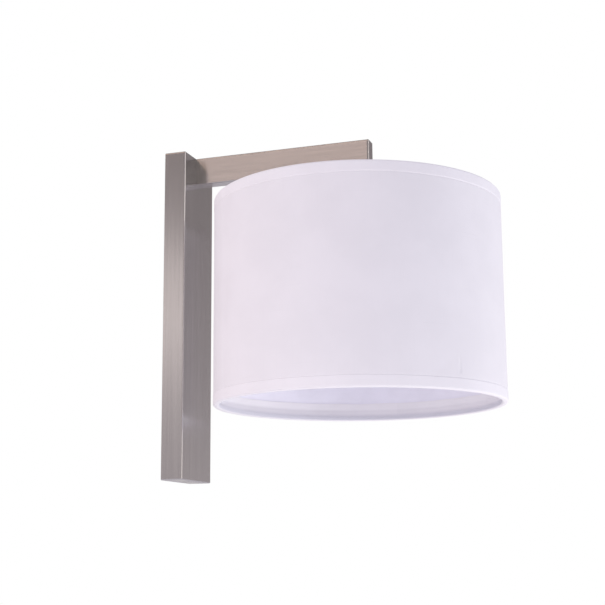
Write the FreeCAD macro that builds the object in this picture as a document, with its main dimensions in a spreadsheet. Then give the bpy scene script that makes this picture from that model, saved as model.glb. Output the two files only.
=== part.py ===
"""Fabric drum shade wall light: upright post, flat arm, lampholder, shade and bulb.

Row frame in millimetres: +Z up, the wall is the plane Y = 0, the light stands out towards -Y,
and the origin is the middle of the post's back. Every size below is a cell of the sheet.
"""

import math
import os

import FreeCAD
import Part
import Sketcher

SIZES = {
    # post: a box folded from sheet, open towards the wall
    "post_height": 236.0,
    "post_width": 50.0,
    "post_depth": 16.0,
    "post_sheet": 1.2,
    "post_edge_radius": 0.9,
    # arm: rectangular tube, flush with the top of the post
    "arm_height": 20.0,
    "arm_width": 10.0,
    "arm_wall": 1.2,
    "arm_edge_radius": 0.8,
    "arm_overhang": 11.0,
    "arm_wire_hole_radius": 3.2,
    "end_cap_thickness": 1.5,
    "end_cap_spigot": 3.0,
    "plug_length": 12.0,
    "arm_screw_edge": 2.7,
    "arm_screw_radius": 1.5,
    "arm_screw_length": 8.0,
    "arm_screw_head_radius": 2.55,
    "arm_screw_head_height": 1.8,
    "wire_bush_radius": 2.9,
    "wire_bush_flange_radius": 3.4,
    "wire_bush_flange": 0.9,
    "wire_bore_radius": 2.3,
    # wall bracket
    "bracket_sheet": 1.5,
    "bracket_side_gap": 5.8,
    "bracket_end_gap": 0.3,
    "bracket_tab_width": 18.0,
    "bracket_tab_front_gap": 2.8,
    "wall_slot_spacing": 160.0,
    "wall_slot_radius": 2.4,
    "wall_slot_length": 10.0,
    "cover_screw_radius": 2.0,
    "cover_screw_length": 6.0,
    "weld_nut_width": 7.0,
    "weld_nut_height": 2.8,
    "cable_entry_drop": 12.0,
    "cable_bore_radius": 5.0,
    "cable_bush_radius": 7.0,
    "cable_bush_flange_radius": 9.0,
    "cable_bush_flange": 2.0,
    # earth point
    "earth_screw_right": 9.0,
    "earth_screw_drop": 36.0,
    "earth_screw_radius": 2.0,
    "earth_screw_head_radius": 3.6,
    "earth_screw_head_height": 2.4,
    "earth_boss_radius": 4.2,
    "earth_boss_height": 2.5,
    "earth_lug_radius": 4.0,
    "earth_lug_sheet": 0.8,
    "earth_lug_barrel_radius": 1.7,
    "earth_lug_barrel_length": 6.0,
    # terminal block and leads
    "terminal_rise": 25.0,
    "terminal_length": 18.0,
    "terminal_front_gap": 1.8,
    "terminal_pitch": 9.0,
    "terminal_margin": 0.5,
    "terminal_insert_radius": 2.6,
    "terminal_insert_length": 14.0,
    "terminal_wire_depth": 5.0,
    "terminal_screw_radius": 1.25,
    "terminal_screw_spacing": 8.0,
    "terminal_fixing_radius": 1.1,
    "lead_radius": 0.95,
    "lead_spacing": 2.1,
    "lead_straight": 8.0,
    "lead_hold": 6.0,
    "lead_bend": 14.0,
    "lead_ease": 4.0,
    "lead_rise": 5.0,
    # stem and lampholder, on the shade's axis
    "shade_offset": 137.0,
    "stem_radius": 4.0,
    "stem_bore_radius": 2.4,
    "stem_insertion": 9.0,
    "holder_cap_height": 24.0,
    "holder_cap_overhang": 0.5,
    "holder_cap_wall": 2.0,
    "holder_cap_straight": 7.0,
    "holder_dome_radius": 14.0,
    "holder_collar_radius": 8.0,
    "holder_collar_height": 8.0,
    "holder_flange_overhang": 2.5,
    "holder_flange": 2.5,
    "holder_neck": 2.5,
    "holder_thread_radius": 19.5,
    "holder_thread_length": 27.0,
    "holder_wall": 2.1,
    "holder_skin": 1.5,
    "holder_socket_gap": 0.4,
    "holder_core_height": 7.5,
    "contact_sheet": 0.5,
    "contact_width": 5.0,
    "contact_bow": 2.0,
    "contact_foot": 4.0,
    "clamp_spacing": 12.0,
    "clamp_screw_spacing": 23.0,
    "clamp_screw_radius": 1.4,
    "clamp_depth": 4.5,
    "stem_lock_radius": 1.5,
    # ring that clamps the shade
    "ring_wall": 2.7,
    "ring_flange_width": 4.7,
    "ring_flange": 2.0,
    "ring_height": 10.0,
    "ring_grip_width": 1.6,
    "ring_grip_depth": 0.9,
    "ring_grip_count": 24,
    # shade
    "shade_diameter": 200.0,
    "shade_height": 144.0,
    "shade_below_arm": 24.0,
    "fabric": 0.5,
    "liner": 0.3,
    "hem_width": 8.0,
    "hem_tuck": 5.0,
    "hem_knee": 0.8,
    "shade_wire_radius": 1.5,
    "spider_recess": 15.0,
    "spider_arm_count": 3,
    "spider_arm_lean": 12.5,
    "hub_bore_gap": 0.5,
    "hub_width": 7.5,
    "hub_sheet": 1.5,
    # bulb
    "bulb_diameter": 55.0,
    "bulb_length": 98.0,
    "bulb_cap_radius": 13.1,
    "bulb_cap_length": 18.0,
    "bulb_cap_sheet": 0.4,
    "bulb_cap_chamfer": 2.6,
    "bulb_neck_step": 0.8,
    "bulb_neck_height": 1.0,
    "bulb_contact_radius": 4.5,
    "bulb_contact_height": 1.5,
    "bulb_insulator_height": 3.0,
    "bulb_insulator_rim": 4.0,
    "bulb_wall": 1.4,
    "bulb_rim_rise": 9.0,
    "bulb_flank_radius": 90.0,
    "bulb_board": 1.6,
    "bulb_board_inset": 1.5,
    "driver_width": 15.7,
    "led_size": 3.5,
    "led_height": 0.7,
    "led_circle_radius": 14.0,
    "led_count": 8,
    # clearances shared by several pieces
    "fit": 0.1,
    "glue_gap": 0.1,
    "seat_gap": 0.2,
    "touch_gap": 0.3,
    "screw_clearance": 0.2,
    "thread_clearance": 0.05,
}

DOC = FreeCAD.newDocument("FabricShadeWallLight")
SHEET = DOC.addObject("Spreadsheet::Sheet", "Sizes")
NODES = []


class Size:
    """A length together with the sheet formula that gives it."""

    def __init__(self, formula, value):
        self.formula = formula
        self.value = float(value)

    def __add__(self, other):
        other = as_size(other)
        return Size(f"({self.formula} + {other.formula})", self.value + other.value)

    def __sub__(self, other):
        other = as_size(other)
        return Size(f"({self.formula} - {other.formula})", self.value - other.value)

    def __rsub__(self, other):
        return as_size(other) - self

    def __mul__(self, factor):
        factor = as_size(factor)
        return Size(f"({self.formula} * {factor.formula})", self.value * factor.value)

    def __truediv__(self, divisor):
        divisor = as_size(divisor)
        return Size(f"({self.formula} / {divisor.formula})", self.value / divisor.value)

    def __neg__(self):
        return Size(f"(0 - {self.formula})", -self.value)

    __radd__ = __add__
    __rmul__ = __mul__


def as_size(number):
    return number if isinstance(number, Size) else Size(repr(float(number)), number)


class Cells:
    """The sheet's cells as sizes, such as S.post_height."""

    def __getattr__(self, alias):
        return Size(f"Sizes.{alias}", getattr(SHEET, alias))


S = Cells()

SOCKET_DEPTH_SHARE = 0.6  # of a screw head's height
SOCKET_WIDTH_SHARE = 0.5  # of a screw head's radius
GRUB_DEPTH_SHARE = 0.4  # of a grub screw's length
GRUB_WIDTH_SHARE = 0.55  # of a grub screw's radius
CLAMP_HEAD_SHARE = 1.4  # of a clamping screw's radius
ARC_RUN_SHARE = 0.45  # of a run that the arc at its end takes
VOLUME_TOLERANCE = 0.01  # of a bent rod's volume


def fill_sheet():
    for row, (alias, number) in enumerate(SIZES.items(), start=1):
        SHEET.set(f"A{row}", alias)
        SHEET.set(f"B{row}", str(number))
        SHEET.setAlias(f"B{row}", alias)
    DOC.recompute()


fill_sheet()

# ---------------------------------------------------------------- places that several pieces share

POST_TOP = S.post_height / 2
POST_MIDDLE = -S.post_depth / 2
POST_INSIDE_FRONT = S.post_sheet - S.post_depth
BRACKET_END = POST_TOP - S.post_sheet - S.bracket_end_gap
ARM_REACH = S.shade_offset + S.arm_overhang
ARM_TUBE_END = ARM_REACH - S.end_cap_thickness
ARM_UNDERSIDE = POST_TOP - S.arm_height
ARM_MIDDLE = POST_TOP - S.arm_height / 2
ARM_HALF = (S.arm_width / 2, S.arm_height / 2)
ARM_BORE_HALF = (S.arm_width / 2 - S.arm_wall, S.arm_height / 2 - S.arm_wall)
ARM_INSERT_HALF = (ARM_BORE_HALF[0] - S.thread_clearance, ARM_BORE_HALF[1] - S.thread_clearance)
ARM_SCREW_RISE = ARM_BORE_HALF[1] - S.arm_screw_edge
AXIS_Y = -S.shade_offset
SHADE_RADIUS = S.shade_diameter / 2
SHADE_TOP = ARM_UNDERSIDE - S.shade_below_arm
SHADE_BOTTOM = SHADE_TOP - S.shade_height
LINER_RADIUS = SHADE_RADIUS - S.fabric - S.glue_gap
HEM_BORE = S.shade_wire_radius + S.touch_gap
HEM_RADIUS = HEM_BORE + S.fabric
WIRE_RING_RADIUS = SHADE_RADIUS - HEM_RADIUS
TOP_WIRE_Z = SHADE_TOP - HEM_RADIUS
BOTTOM_WIRE_Z = SHADE_BOTTOM + HEM_RADIUS
HUB_TOP = SHADE_TOP - S.spider_recess
HUB_UNDERSIDE = HUB_TOP - S.hub_sheet
HUB_BORE_RADIUS = S.holder_thread_radius + S.hub_bore_gap
HUB_RADIUS = HUB_BORE_RADIUS + S.hub_width
SHOULDER = HUB_TOP + S.seat_gap
SHELL_TOP = SHOULDER + S.holder_flange + S.holder_neck
SHELL_BOTTOM = SHOULDER - S.holder_thread_length
SOCKET_RADIUS = S.bulb_cap_radius + S.holder_socket_gap
FLANGE_RADIUS = S.holder_thread_radius + S.holder_flange_overhang
CORE_RADIUS = S.holder_thread_radius - S.holder_wall - S.fit
CORE_TOP = SHOULDER + S.holder_flange
CORE_UNDERSIDE = CORE_TOP - S.holder_core_height
CONTACT_FOOT = CORE_UNDERSIDE - S.contact_sheet
HOLDER_TOP = SHELL_TOP + S.holder_cap_height
STEM_BOTTOM = HOLDER_TOP - S.stem_insertion
RING_TOP = HUB_UNDERSIDE - S.seat_gap
BULB_TOP = CONTACT_FOOT - S.contact_bow - S.touch_gap
BULB_BOTTOM = BULB_TOP - S.bulb_length
BULB_CENTRE = BULB_BOTTOM + S.bulb_diameter / 2
BULB_RIM = BULB_CENTRE + S.bulb_rim_rise
CAP_TOP = BULB_TOP - S.bulb_contact_height - S.bulb_insulator_height
CAP_BOTTOM = CAP_TOP - S.bulb_cap_length
CAP_CROWN_RADIUS = S.bulb_cap_radius - S.bulb_cap_chamfer
CABLE_Z = -S.cable_entry_drop
EARTH_Z = -S.earth_screw_drop
EARTH_FACE = -(S.bracket_sheet + S.earth_boss_height)
EARTH_LUG_FACE = EARTH_FACE - S.earth_lug_sheet
EARTH_BARREL_LOW = EARTH_Z + S.earth_screw_head_radius + S.screw_clearance
TERMINAL_TOP = S.terminal_rise + S.terminal_length / 2
TERMINAL_BOTTOM = S.terminal_rise - S.terminal_length / 2
TERMINAL_FRONT = POST_INSIDE_FRONT + S.terminal_front_gap
TERMINAL_WIRE_Y = -(S.bracket_sheet + S.terminal_wire_depth)

# ---------------------------------------------------------------- building blocks

VECTOR = FreeCAD.Vector
TINY = 1e-6
TURNS = {
    "up": FreeCAD.Rotation(),
    "down": FreeCAD.Rotation(VECTOR(1, 0, 0), 180),
    "out": FreeCAD.Rotation(VECTOR(1, 0, 0), 90),
    "in": FreeCAD.Rotation(VECTOR(1, 0, 0), -90),
}
WAYS = {
    "up": (0, 0, 1),
    "down": (0, 0, -1),
    "out": (0, -1, 0),
    "in": (0, 1, 0),
}


def bind(item, prop, size):
    item.setExpression(prop, as_size(size).formula)


def place(item, x, y, z, facing="up"):
    """Puts the item's own origin at that point, with its own +Z facing that way."""
    item.Placement = FreeCAD.Placement(VECTOR(0, 0, 0), TURNS[facing])
    for axis, size in zip("xyz", (x, y, z)):
        bind(item, f"Placement.Base.{axis}", size)
    return item


def along(at, facing, distance):
    return tuple(as_size(c) + as_size(distance) * w if w else as_size(c) for c, w in zip(at, WAYS[facing]))


def node(item, label):
    """Names the finished sub-part, which is written to its own file."""
    item.Label = label
    NODES.append(item)
    return item


def block(name, low, high):
    """A box from its lowest corner to its highest corner."""
    low, high = ([as_size(c) for c in corner] for corner in (low, high))
    item = DOC.addObject("Part::Box", name)
    for prop, a, b in zip(("Length", "Width", "Height"), low, high):
        bind(item, prop, b - a)
    return place(item, *low)


def rod(name, at, facing, radius, length):
    item = DOC.addObject("Part::Cylinder", name)
    bind(item, "Radius", radius)
    bind(item, "Height", length)
    return place(item, *at, facing)


def hexagon(name, at, facing, radius, length):
    item = DOC.addObject("Part::Prism", name)
    item.Polygon = 6
    bind(item, "Circumradius", radius)
    bind(item, "Height", length)
    return place(item, *at, facing)


def fuse(name, *items):
    joined = DOC.addObject("Part::MultiFuse", name)
    joined.Shapes = list(items)
    joined.Refine = True
    return joined


def cut(name, base, *tools):
    item = DOC.addObject("Part::Cut", name)
    item.Base = base
    item.Tool = tools[0] if len(tools) == 1 else fuse(name + "_tools", *tools)
    item.Refine = True
    return item


def together(name, items):
    """Several separate solids as one sub-part."""
    item = DOC.addObject("Part::Compound", name)
    item.Links = list(items)
    return item


def screw(name, at, facing, head_radius, head_height, radius, length):
    """A screw whose head rests at the point and faces that way, with a hexagon socket."""
    head = rod(name + "_head", at, facing, head_radius, head_height)
    shank = rod(name + "_shank", along(at, facing, -length), facing, radius, length)
    depth = head_height * SOCKET_DEPTH_SHARE
    socket_at = along(at, facing, head_height - depth)
    socket = hexagon(name + "_socket", socket_at, facing, head_radius * SOCKET_WIDTH_SHARE, depth)
    return cut(name, fuse(name + "_blank", head, shank), socket)


def grub_screw(name, at, facing, radius, length):
    """A headless screw whose outer end lies at the point."""
    shank = rod(name + "_shank", along(at, facing, -length), facing, radius, length)
    depth = length * GRUB_DEPTH_SHARE
    width = radius * GRUB_WIDTH_SHARE
    socket = hexagon(name + "_socket", along(at, facing, -depth), facing, width, depth)
    return cut(name, shank, socket)


def new_body(name):
    return DOC.addObject("PartDesign::Body", name)


def sketch_on(body, name, role="XZ_Plane", offset=None):
    """An empty sketch on one of the body's own planes; XZ_Plane faces -Y and XY_Plane faces +Z."""
    sketch = body.newObject("Sketcher::SketchObject", name)
    plane = [item for item in body.Origin.OriginFeatures if item.Role == role][0]
    sketch.AttachmentSupport = [(plane, "")]
    sketch.MapMode = "FlatFace"
    if offset is not None:
        bind(sketch, "AttachmentOffset.Base.z", offset)
    return sketch


def measure(sketch, kind, size, *where):
    """Adds a named measure to the sketch and ties it to the sheet."""
    size = as_size(size)
    index = sketch.addConstraint(Sketcher.Constraint(kind, *where, size.value))
    name = f"{kind}{index}"
    sketch.renameConstraint(index, name)
    bind(sketch, "Constraints." + name, size)


def arc_between(start, end, radius):
    """The arc from start to end that keeps its centre on the left for a positive radius."""
    chord = end - start
    middle = (start + end) * 0.5
    reach = math.sqrt(max(radius**2 - (chord.Length / 2) ** 2, 0.0))
    left = VECTOR(-chord.y, chord.x, 0).normalize()
    centre = middle + left * (reach if radius > 0 else -reach)
    angles = [math.atan2(p.y - centre.y, p.x - centre.x) for p in (start, end)]
    if radius < 0:
        angles.reverse()
    return Part.ArcOfCircle(Part.Circle(centre, VECTOR(0, 0, 1), abs(radius)), *angles)


def draw(sketch, corners):
    """A closed outline through the corners. A third entry makes the stretch that leads there an arc."""
    corners = [tuple(as_size(entry) for entry in corner) for corner in corners]
    points = [VECTOR(corner[0].value, corner[1].value, 0) for corner in corners]
    ends = []
    for number, corner in enumerate(corners):
        start, end = points[number - 1], points[number]
        if len(corner) == 3:
            index = sketch.addGeometry(arc_between(start, end, corner[2].value))
            ends.append((index, 1, 2) if corner[2].value > 0 else (index, 2, 1))
        else:
            index = sketch.addGeometry(Part.LineSegment(start, end))
            ends.append((index, 1, 2))
    for number, corner in enumerate(corners):
        index, first, last = ends[number]
        following, following_first, _ = ends[(number + 1) % len(corners)]
        sketch.addConstraint(Sketcher.Constraint("Coincident", index, last, following, following_first))
        measure(sketch, "DistanceX", corner[0], index, last)
        measure(sketch, "DistanceY", corner[1], index, last)
        if len(corner) == 3:
            radius = corner[2] if corner[2].value > 0 else -corner[2]
            measure(sketch, "Radius", radius, index)


def rectangle(sketch, low, high):
    draw(sketch, [(low[0], low[1]), (high[0], low[1]), (high[0], high[1]), (low[0], high[1])])


def circle(sketch, x, y, radius):
    radius = as_size(radius)
    centre = VECTOR(as_size(x).value, as_size(y).value, 0)
    index = sketch.addGeometry(Part.Circle(centre, VECTOR(0, 0, 1), radius.value))
    measure(sketch, "DistanceX", x, index, 3)
    measure(sketch, "DistanceY", y, index, 3)
    measure(sketch, "Radius", radius, index)


def slot(sketch, x, y, radius, length):
    """An upright slot with round ends, each drawn as two quarter circles."""
    x, y, radius, length = (as_size(entry) for entry in (x, y, radius, length))
    up = length / 2 - radius
    corners = [
        (x + radius, y + up),
        (x, y + up + radius, radius),
        (x - radius, y + up, radius),
        (x - radius, y - up),
        (x, y - up - radius, radius),
        (x + radius, y - up, radius),
    ]
    draw(sketch, corners)


def pad(body, sketch, length, backwards=False):
    item = body.newObject("PartDesign::Pad", sketch.Name + "_pad")
    item.Profile = sketch
    item.Reversed = backwards
    bind(item, "Length", length)
    DOC.recompute()
    return item


def pocket(body, sketch, length):
    """Cuts the outline away, towards the side that the sketch faces."""
    before = body.Shape.Volume
    item = body.newObject("PartDesign::Pocket", sketch.Name + "_pocket")
    item.Profile = sketch
    item.Reversed = True
    bind(item, "Length", length)
    DOC.recompute()
    if body.Shape.Volume >= before:
        raise RuntimeError(f"{item.Name} cuts nothing")


def round_edges(body, wanted, radius):
    """Rounds the edges for which wanted(edge) is true."""
    base = body.Tip
    names = [f"Edge{number}" for number, edge in enumerate(base.Shape.Edges, start=1) if wanted(edge)]
    item = body.newObject("PartDesign::Fillet", body.Name + "_rounding")
    item.Base = (base, names)
    bind(item, "Radius", radius)
    DOC.recompute()


def off_the_back(edge):
    """True for an edge that leaves the plane Y = 0 of its body."""
    return min(vertex.Point.y for vertex in edge.Vertexes) < -TINY


def runs_outwards(edge):
    """True for a straight edge parallel to Y."""
    step = edge.Vertexes[-1].Point - edge.Vertexes[0].Point
    return abs(step.x) < TINY and abs(step.z) < TINY


def turned(name, corners):
    """A body of revolution about the shade's axis. Corners are (radius, height)."""
    body = new_body(name)
    outline = sketch_on(body, name + "_outline")
    draw(outline, corners)
    item = body.newObject("PartDesign::Revolution", name + "_turned")
    item.Profile = outline
    item.ReferenceAxis = (outline, ["V_Axis"])
    item.Angle = 360
    bind(body, "Placement.Base.y", AXIS_Y)
    DOC.recompute()
    return body


def bent_rod(points, radius):
    """A round rod along straight runs joined by arcs, each as large as its two runs allow."""
    corners = [VECTOR(*point) for point in points]
    edges = []
    here = corners[0]
    for before, corner, after in zip(corners, corners[1:], corners[2:]):
        back = (before - corner).normalize()
        on = (after - corner).normalize()
        half_turn = (math.pi - back.getAngle(on)) / 2
        setback = ARC_RUN_SHARE * min((before - corner).Length, (after - corner).Length)
        bend = setback / math.tan(half_turn)
        middle = corner + (back + on).normalize() * (bend / math.cos(half_turn) - bend)
        start, end = corner + back * setback, corner + on * setback
        edges.append(Part.LineSegment(here, start).toShape())
        edges.append(Part.Arc(start, middle, end).toShape())
        here = end
        print(f"bend of {math.degrees(half_turn * 2):.0f} degrees with a radius of {bend:.1f} mm")
    edges.append(Part.LineSegment(here, corners[-1]).toShape())
    path = Part.Wire(edges)
    ring = Part.Circle(corners[0], corners[1] - corners[0], radius).toShape()
    solid = path.makePipeShell([Part.Wire([ring])], True, False)
    if abs(solid.Volume / (math.pi * radius**2 * path.Length) - 1) > VOLUME_TOLERANCE:
        raise RuntimeError("a bent rod has the wrong volume")
    return solid


# ---------------------------------------------------------------- wall side


def make_wall_bracket():
    """A strip with an end tab at the top and the bottom, wall slots, cable hole and earth boss."""
    half = S.post_width / 2 - S.post_sheet - S.bracket_side_gap
    strip = new_body("bracket_strip")
    face = sketch_on(strip, "bracket_face")
    rectangle(face, (-half, -BRACKET_END), (half, BRACKET_END))
    pad(strip, face, S.bracket_sheet)
    holes = sketch_on(strip, "bracket_holes")
    circle(holes, 0, CABLE_Z, S.cable_bush_radius + S.fit)
    for side in (-1, 1):
        slot(holes, 0, S.wall_slot_spacing / 2 * side, S.wall_slot_radius, S.wall_slot_length)
    pocket(strip, holes, S.bracket_sheet)
    tab_half = S.bracket_tab_width / 2
    tab_front = POST_INSIDE_FRONT + S.bracket_tab_front_gap
    tabs = []
    for end_name, low in (("top", BRACKET_END - S.bracket_sheet), ("bottom", -BRACKET_END)):
        tab = block(end_name + "_tab", (-tab_half, tab_front, low), (tab_half, 0, low + S.bracket_sheet))
        hole = rod(end_name + "_tab_hole", (0, POST_MIDDLE, low), "up", cover_thread(), S.bracket_sheet)
        tabs.append(cut(end_name + "_tab_drilled", tab, hole))
    boss_at = (S.earth_screw_right, 0, EARTH_Z)
    boss_length = S.bracket_sheet + S.earth_boss_height
    boss = rod("earth_boss", boss_at, "out", S.earth_boss_radius, boss_length)
    thread = rod("earth_thread", boss_at, "out", S.earth_screw_radius + S.thread_clearance, boss_length)
    node(cut("bracket", fuse("bracket_blank", strip, boss, *tabs), thread), "wall_bracket")


def cover_thread():
    return S.cover_screw_radius + S.thread_clearance


def make_weld_nuts():
    """Square nuts welded inside the tabs, which take the cover's grub screws."""
    half = S.weld_nut_width / 2
    seat = BRACKET_END - S.bracket_sheet
    nuts = []
    for end_name, low in (("top", seat - S.weld_nut_height), ("bottom", -seat)):
        high = low + S.weld_nut_height
        nut = block(end_name + "_nut", (-half, POST_MIDDLE - half, low), (half, POST_MIDDLE + half, high))
        hole = rod(end_name + "_nut_thread", (0, POST_MIDDLE, low), "up", cover_thread(), S.weld_nut_height)
        nuts.append(cut(end_name + "_nut_drilled", nut, hole))
    node(together("nut_pair", nuts), "weld_nuts")


def make_cover_screws():
    """Grub screws whose outer ends lie flush with the post's top and bottom."""
    size = (S.cover_screw_radius, S.cover_screw_length)
    top = grub_screw("top_cover_screw", (0, POST_MIDDLE, POST_TOP), "up", *size)
    bottom = grub_screw("bottom_cover_screw", (0, POST_MIDDLE, -POST_TOP), "down", *size)
    node(together("cover_screw_pair", [top, bottom]), "cover_screws")


def make_cable_bush():
    """A plastic bush in the bracket's cable hole, with its flange on the room side."""
    at = (0, 0, CABLE_Z)
    flange_at = along(at, "out", S.bracket_sheet)
    barrel = rod("cable_barrel", at, "out", S.cable_bush_radius, S.bracket_sheet)
    flange = rod("cable_flange", flange_at, "out", S.cable_bush_flange_radius, S.cable_bush_flange)
    bore = rod("cable_bore", at, "out", S.cable_bore_radius, S.bracket_sheet + S.cable_bush_flange)
    node(cut("bored_cable_bush", fuse("cable_blank", barrel, flange), bore), "cable_bush")


def make_terminals():
    """A three-way terminal block with its brass inserts, clamping screws and fixing screw."""
    back = -S.bracket_sheet
    half = S.terminal_pitch * 1.5 + S.terminal_margin
    blank = block("terminal_blank", (-half, TERMINAL_FRONT, TERMINAL_BOTTOM), (half, back, TERMINAL_TOP))
    insert_low = S.terminal_rise - S.terminal_insert_length / 2
    way_radius = S.lead_radius + S.screw_clearance
    thread_radius = S.terminal_screw_radius + S.thread_clearance
    screw_length = TERMINAL_WIRE_Y - way_radius - TERMINAL_FRONT
    hollows, inserts, screws = [], [], []
    for pole, x in enumerate(pole_places()):
        name = f"pole_{pole}"
        low = (x, TERMINAL_WIRE_Y, insert_low)
        foot = (x, TERMINAL_WIRE_Y, TERMINAL_BOTTOM)
        tube = rod(name + "_tube", low, "up", S.terminal_insert_radius, S.terminal_insert_length)
        bore = rod(name + "_bore", low, "up", way_radius, S.terminal_insert_length)
        seat_radius = S.terminal_insert_radius + S.thread_clearance
        hollows.append(rod(name + "_seat", low, "up", seat_radius, S.terminal_insert_length))
        hollows.append(rod(name + "_way", foot, "up", way_radius, S.terminal_length))
        threads = []
        for row, side in (("low", -1), ("high", 1)):
            at = (x, TERMINAL_FRONT, S.terminal_rise + S.terminal_screw_spacing / 2 * side)
            threads.append(rod(f"{name}_{row}_thread", at, "in", thread_radius, screw_length))
            screw_name = f"{name}_{row}_screw"
            screws.append(grub_screw(screw_name, at, "out", S.terminal_screw_radius, screw_length))
        hollows.extend(threads)
        inserts.append(cut(name + "_insert", tube, bore, *threads))
    fixing_at = (S.terminal_pitch / 2, TERMINAL_FRONT, S.terminal_rise)
    fixing_length = back - TERMINAL_FRONT
    fixing_thread = S.terminal_fixing_radius + S.thread_clearance
    hollows.append(rod("fixing_thread", fixing_at, "in", fixing_thread, fixing_length))
    node(cut("terminal_body", blank, *hollows), "terminal_block")
    node(together("insert_set", inserts), "terminal_inserts")
    node(together("terminal_screw_set", screws), "terminal_screws")
    pin = grub_screw("fixing_pin", fixing_at, "out", S.terminal_fixing_radius, fixing_length)
    node(pin, "terminal_fixing_screw")


def pole_places():
    """Where the three poles stand from left to right: live, neutral, earth."""
    return -S.terminal_pitch, S.terminal_pitch * 0, S.terminal_pitch


def make_earth_point():
    """The earth screw on its boss, with the ring lug of the earth lead under its head."""
    x = S.earth_screw_right
    at = (x, EARTH_FACE, EARTH_Z)
    barrel_at = (x, EARTH_FACE - S.earth_lug_barrel_radius, EARTH_BARREL_LOW)
    barrel = rod("lug_barrel", barrel_at, "up", S.earth_lug_barrel_radius, S.earth_lug_barrel_length)
    bore_radius = S.lead_radius + S.thread_clearance
    bore = rod("lug_bore", barrel_at, "up", bore_radius, S.earth_lug_barrel_length)
    ring = rod("lug_ring", at, "out", S.earth_lug_radius, S.earth_lug_sheet)
    hole = rod("lug_hole", at, "out", S.earth_screw_radius + S.screw_clearance, S.earth_lug_sheet)
    tongue_low = (x - S.earth_lug_barrel_radius, EARTH_LUG_FACE, EARTH_Z)
    tongue_high = (x + S.earth_lug_barrel_radius, EARTH_FACE, EARTH_BARREL_LOW + S.earth_lug_sheet)
    tongue = block("lug_tongue", tongue_low, tongue_high)
    node(cut("lug", fuse("lug_blank", ring, tongue, barrel), hole, bore), "earth_lug")
    head_at = (x, EARTH_LUG_FACE, EARTH_Z)
    head = (S.earth_screw_head_radius, S.earth_screw_head_height)
    length = -(EARTH_LUG_FACE + S.screw_clearance)
    node(screw("earth_bolt", head_at, "out", *head, S.earth_screw_radius, length), "earth_screw")


# ---------------------------------------------------------------- post and arm


def make_post_cover():
    """The folded post, with the arm's screw and wire holes at the top of its front."""
    half = S.post_width / 2
    body = new_body("cover")
    face = sketch_on(body, "cover_face")
    rectangle(face, (-half, -POST_TOP), (half, POST_TOP))
    pad(body, face, S.post_depth)
    round_edges(body, off_the_back, S.post_edge_radius)
    inside = sketch_on(body, "cover_inside")
    inner_half, inner_top = half - S.post_sheet, POST_TOP - S.post_sheet
    rectangle(inside, (-inner_half, -inner_top), (inner_half, inner_top))
    pocket(body, inside, -POST_INSIDE_FRONT)
    holes = sketch_on(body, "cover_holes")
    circle(holes, 0, ARM_MIDDLE, S.wire_bush_radius + S.fit)
    for side in (-1, 1):
        circle(holes, 0, ARM_MIDDLE + ARM_SCREW_RISE * side, S.arm_screw_radius + S.screw_clearance)
    pocket(body, holes, S.post_depth)
    clear = S.cover_screw_radius + S.screw_clearance
    top_hole = rod("cover_top_hole", (0, POST_MIDDLE, POST_TOP - S.post_sheet), "up", clear, S.post_sheet)
    bottom_hole = rod("cover_bottom_hole", (0, POST_MIDDLE, -POST_TOP), "up", clear, S.post_sheet)
    node(cut("cover_drilled", body, top_hole, bottom_hole), "post_cover")


def make_arm_tube():
    """The rectangular tube, with a hole for the leads over the stem."""
    length = ARM_TUBE_END - S.post_depth
    tube = new_body("tube")
    section = sketch_on(tube, "tube_section")
    rectangle(section, (-ARM_HALF[0], -ARM_HALF[1]), ARM_HALF)
    pad(tube, section, length)
    round_edges(tube, runs_outwards, S.arm_edge_radius)
    bore = sketch_on(tube, "tube_bore")
    rectangle(bore, (-ARM_BORE_HALF[0], -ARM_BORE_HALF[1]), ARM_BORE_HALF)
    pocket(tube, bore, length)
    bind(tube, "Placement.Base.y", -S.post_depth)
    bind(tube, "Placement.Base.z", ARM_MIDDLE)
    hole = rod("tube_stem_hole", (0, AXIS_Y, ARM_UNDERSIDE), "up", S.arm_wire_hole_radius, S.arm_wall)
    node(cut("tube_drilled", tube, hole), "arm_tube")


def make_end_cap():
    """A plate over the arm's end, with a spigot in the tube."""
    cap = new_body("end_cap")
    plate = sketch_on(cap, "end_cap_plate")
    rectangle(plate, (-ARM_HALF[0], -ARM_HALF[1]), ARM_HALF)
    pad(cap, plate, S.end_cap_thickness)
    round_edges(cap, off_the_back, S.arm_edge_radius)
    spigot = sketch_on(cap, "end_cap_spigot")
    rectangle(spigot, (-ARM_INSERT_HALF[0], -ARM_INSERT_HALF[1]), ARM_INSERT_HALF)
    pad(cap, spigot, S.end_cap_spigot, backwards=True)
    bind(cap, "Placement.Base.y", -ARM_TUBE_END)
    bind(cap, "Placement.Base.z", ARM_MIDDLE)
    node(cap, "arm_end_cap")


def make_root_plug():
    """The tapped block in the arm's root, with a way for the leads."""
    plug = new_body("plug")
    face = sketch_on(plug, "plug_face")
    rectangle(face, (-ARM_INSERT_HALF[0], -ARM_INSERT_HALF[1]), ARM_INSERT_HALF)
    pad(plug, face, S.plug_length)
    holes = sketch_on(plug, "plug_holes")
    circle(holes, 0, 0, S.wire_bore_radius)
    for side in (-1, 1):
        circle(holes, 0, ARM_SCREW_RISE * side, S.arm_screw_radius + S.thread_clearance)
    pocket(plug, holes, S.plug_length)
    bind(plug, "Placement.Base.y", -S.post_depth)
    bind(plug, "Placement.Base.z", ARM_MIDDLE)
    node(plug, "arm_root_plug")


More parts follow.
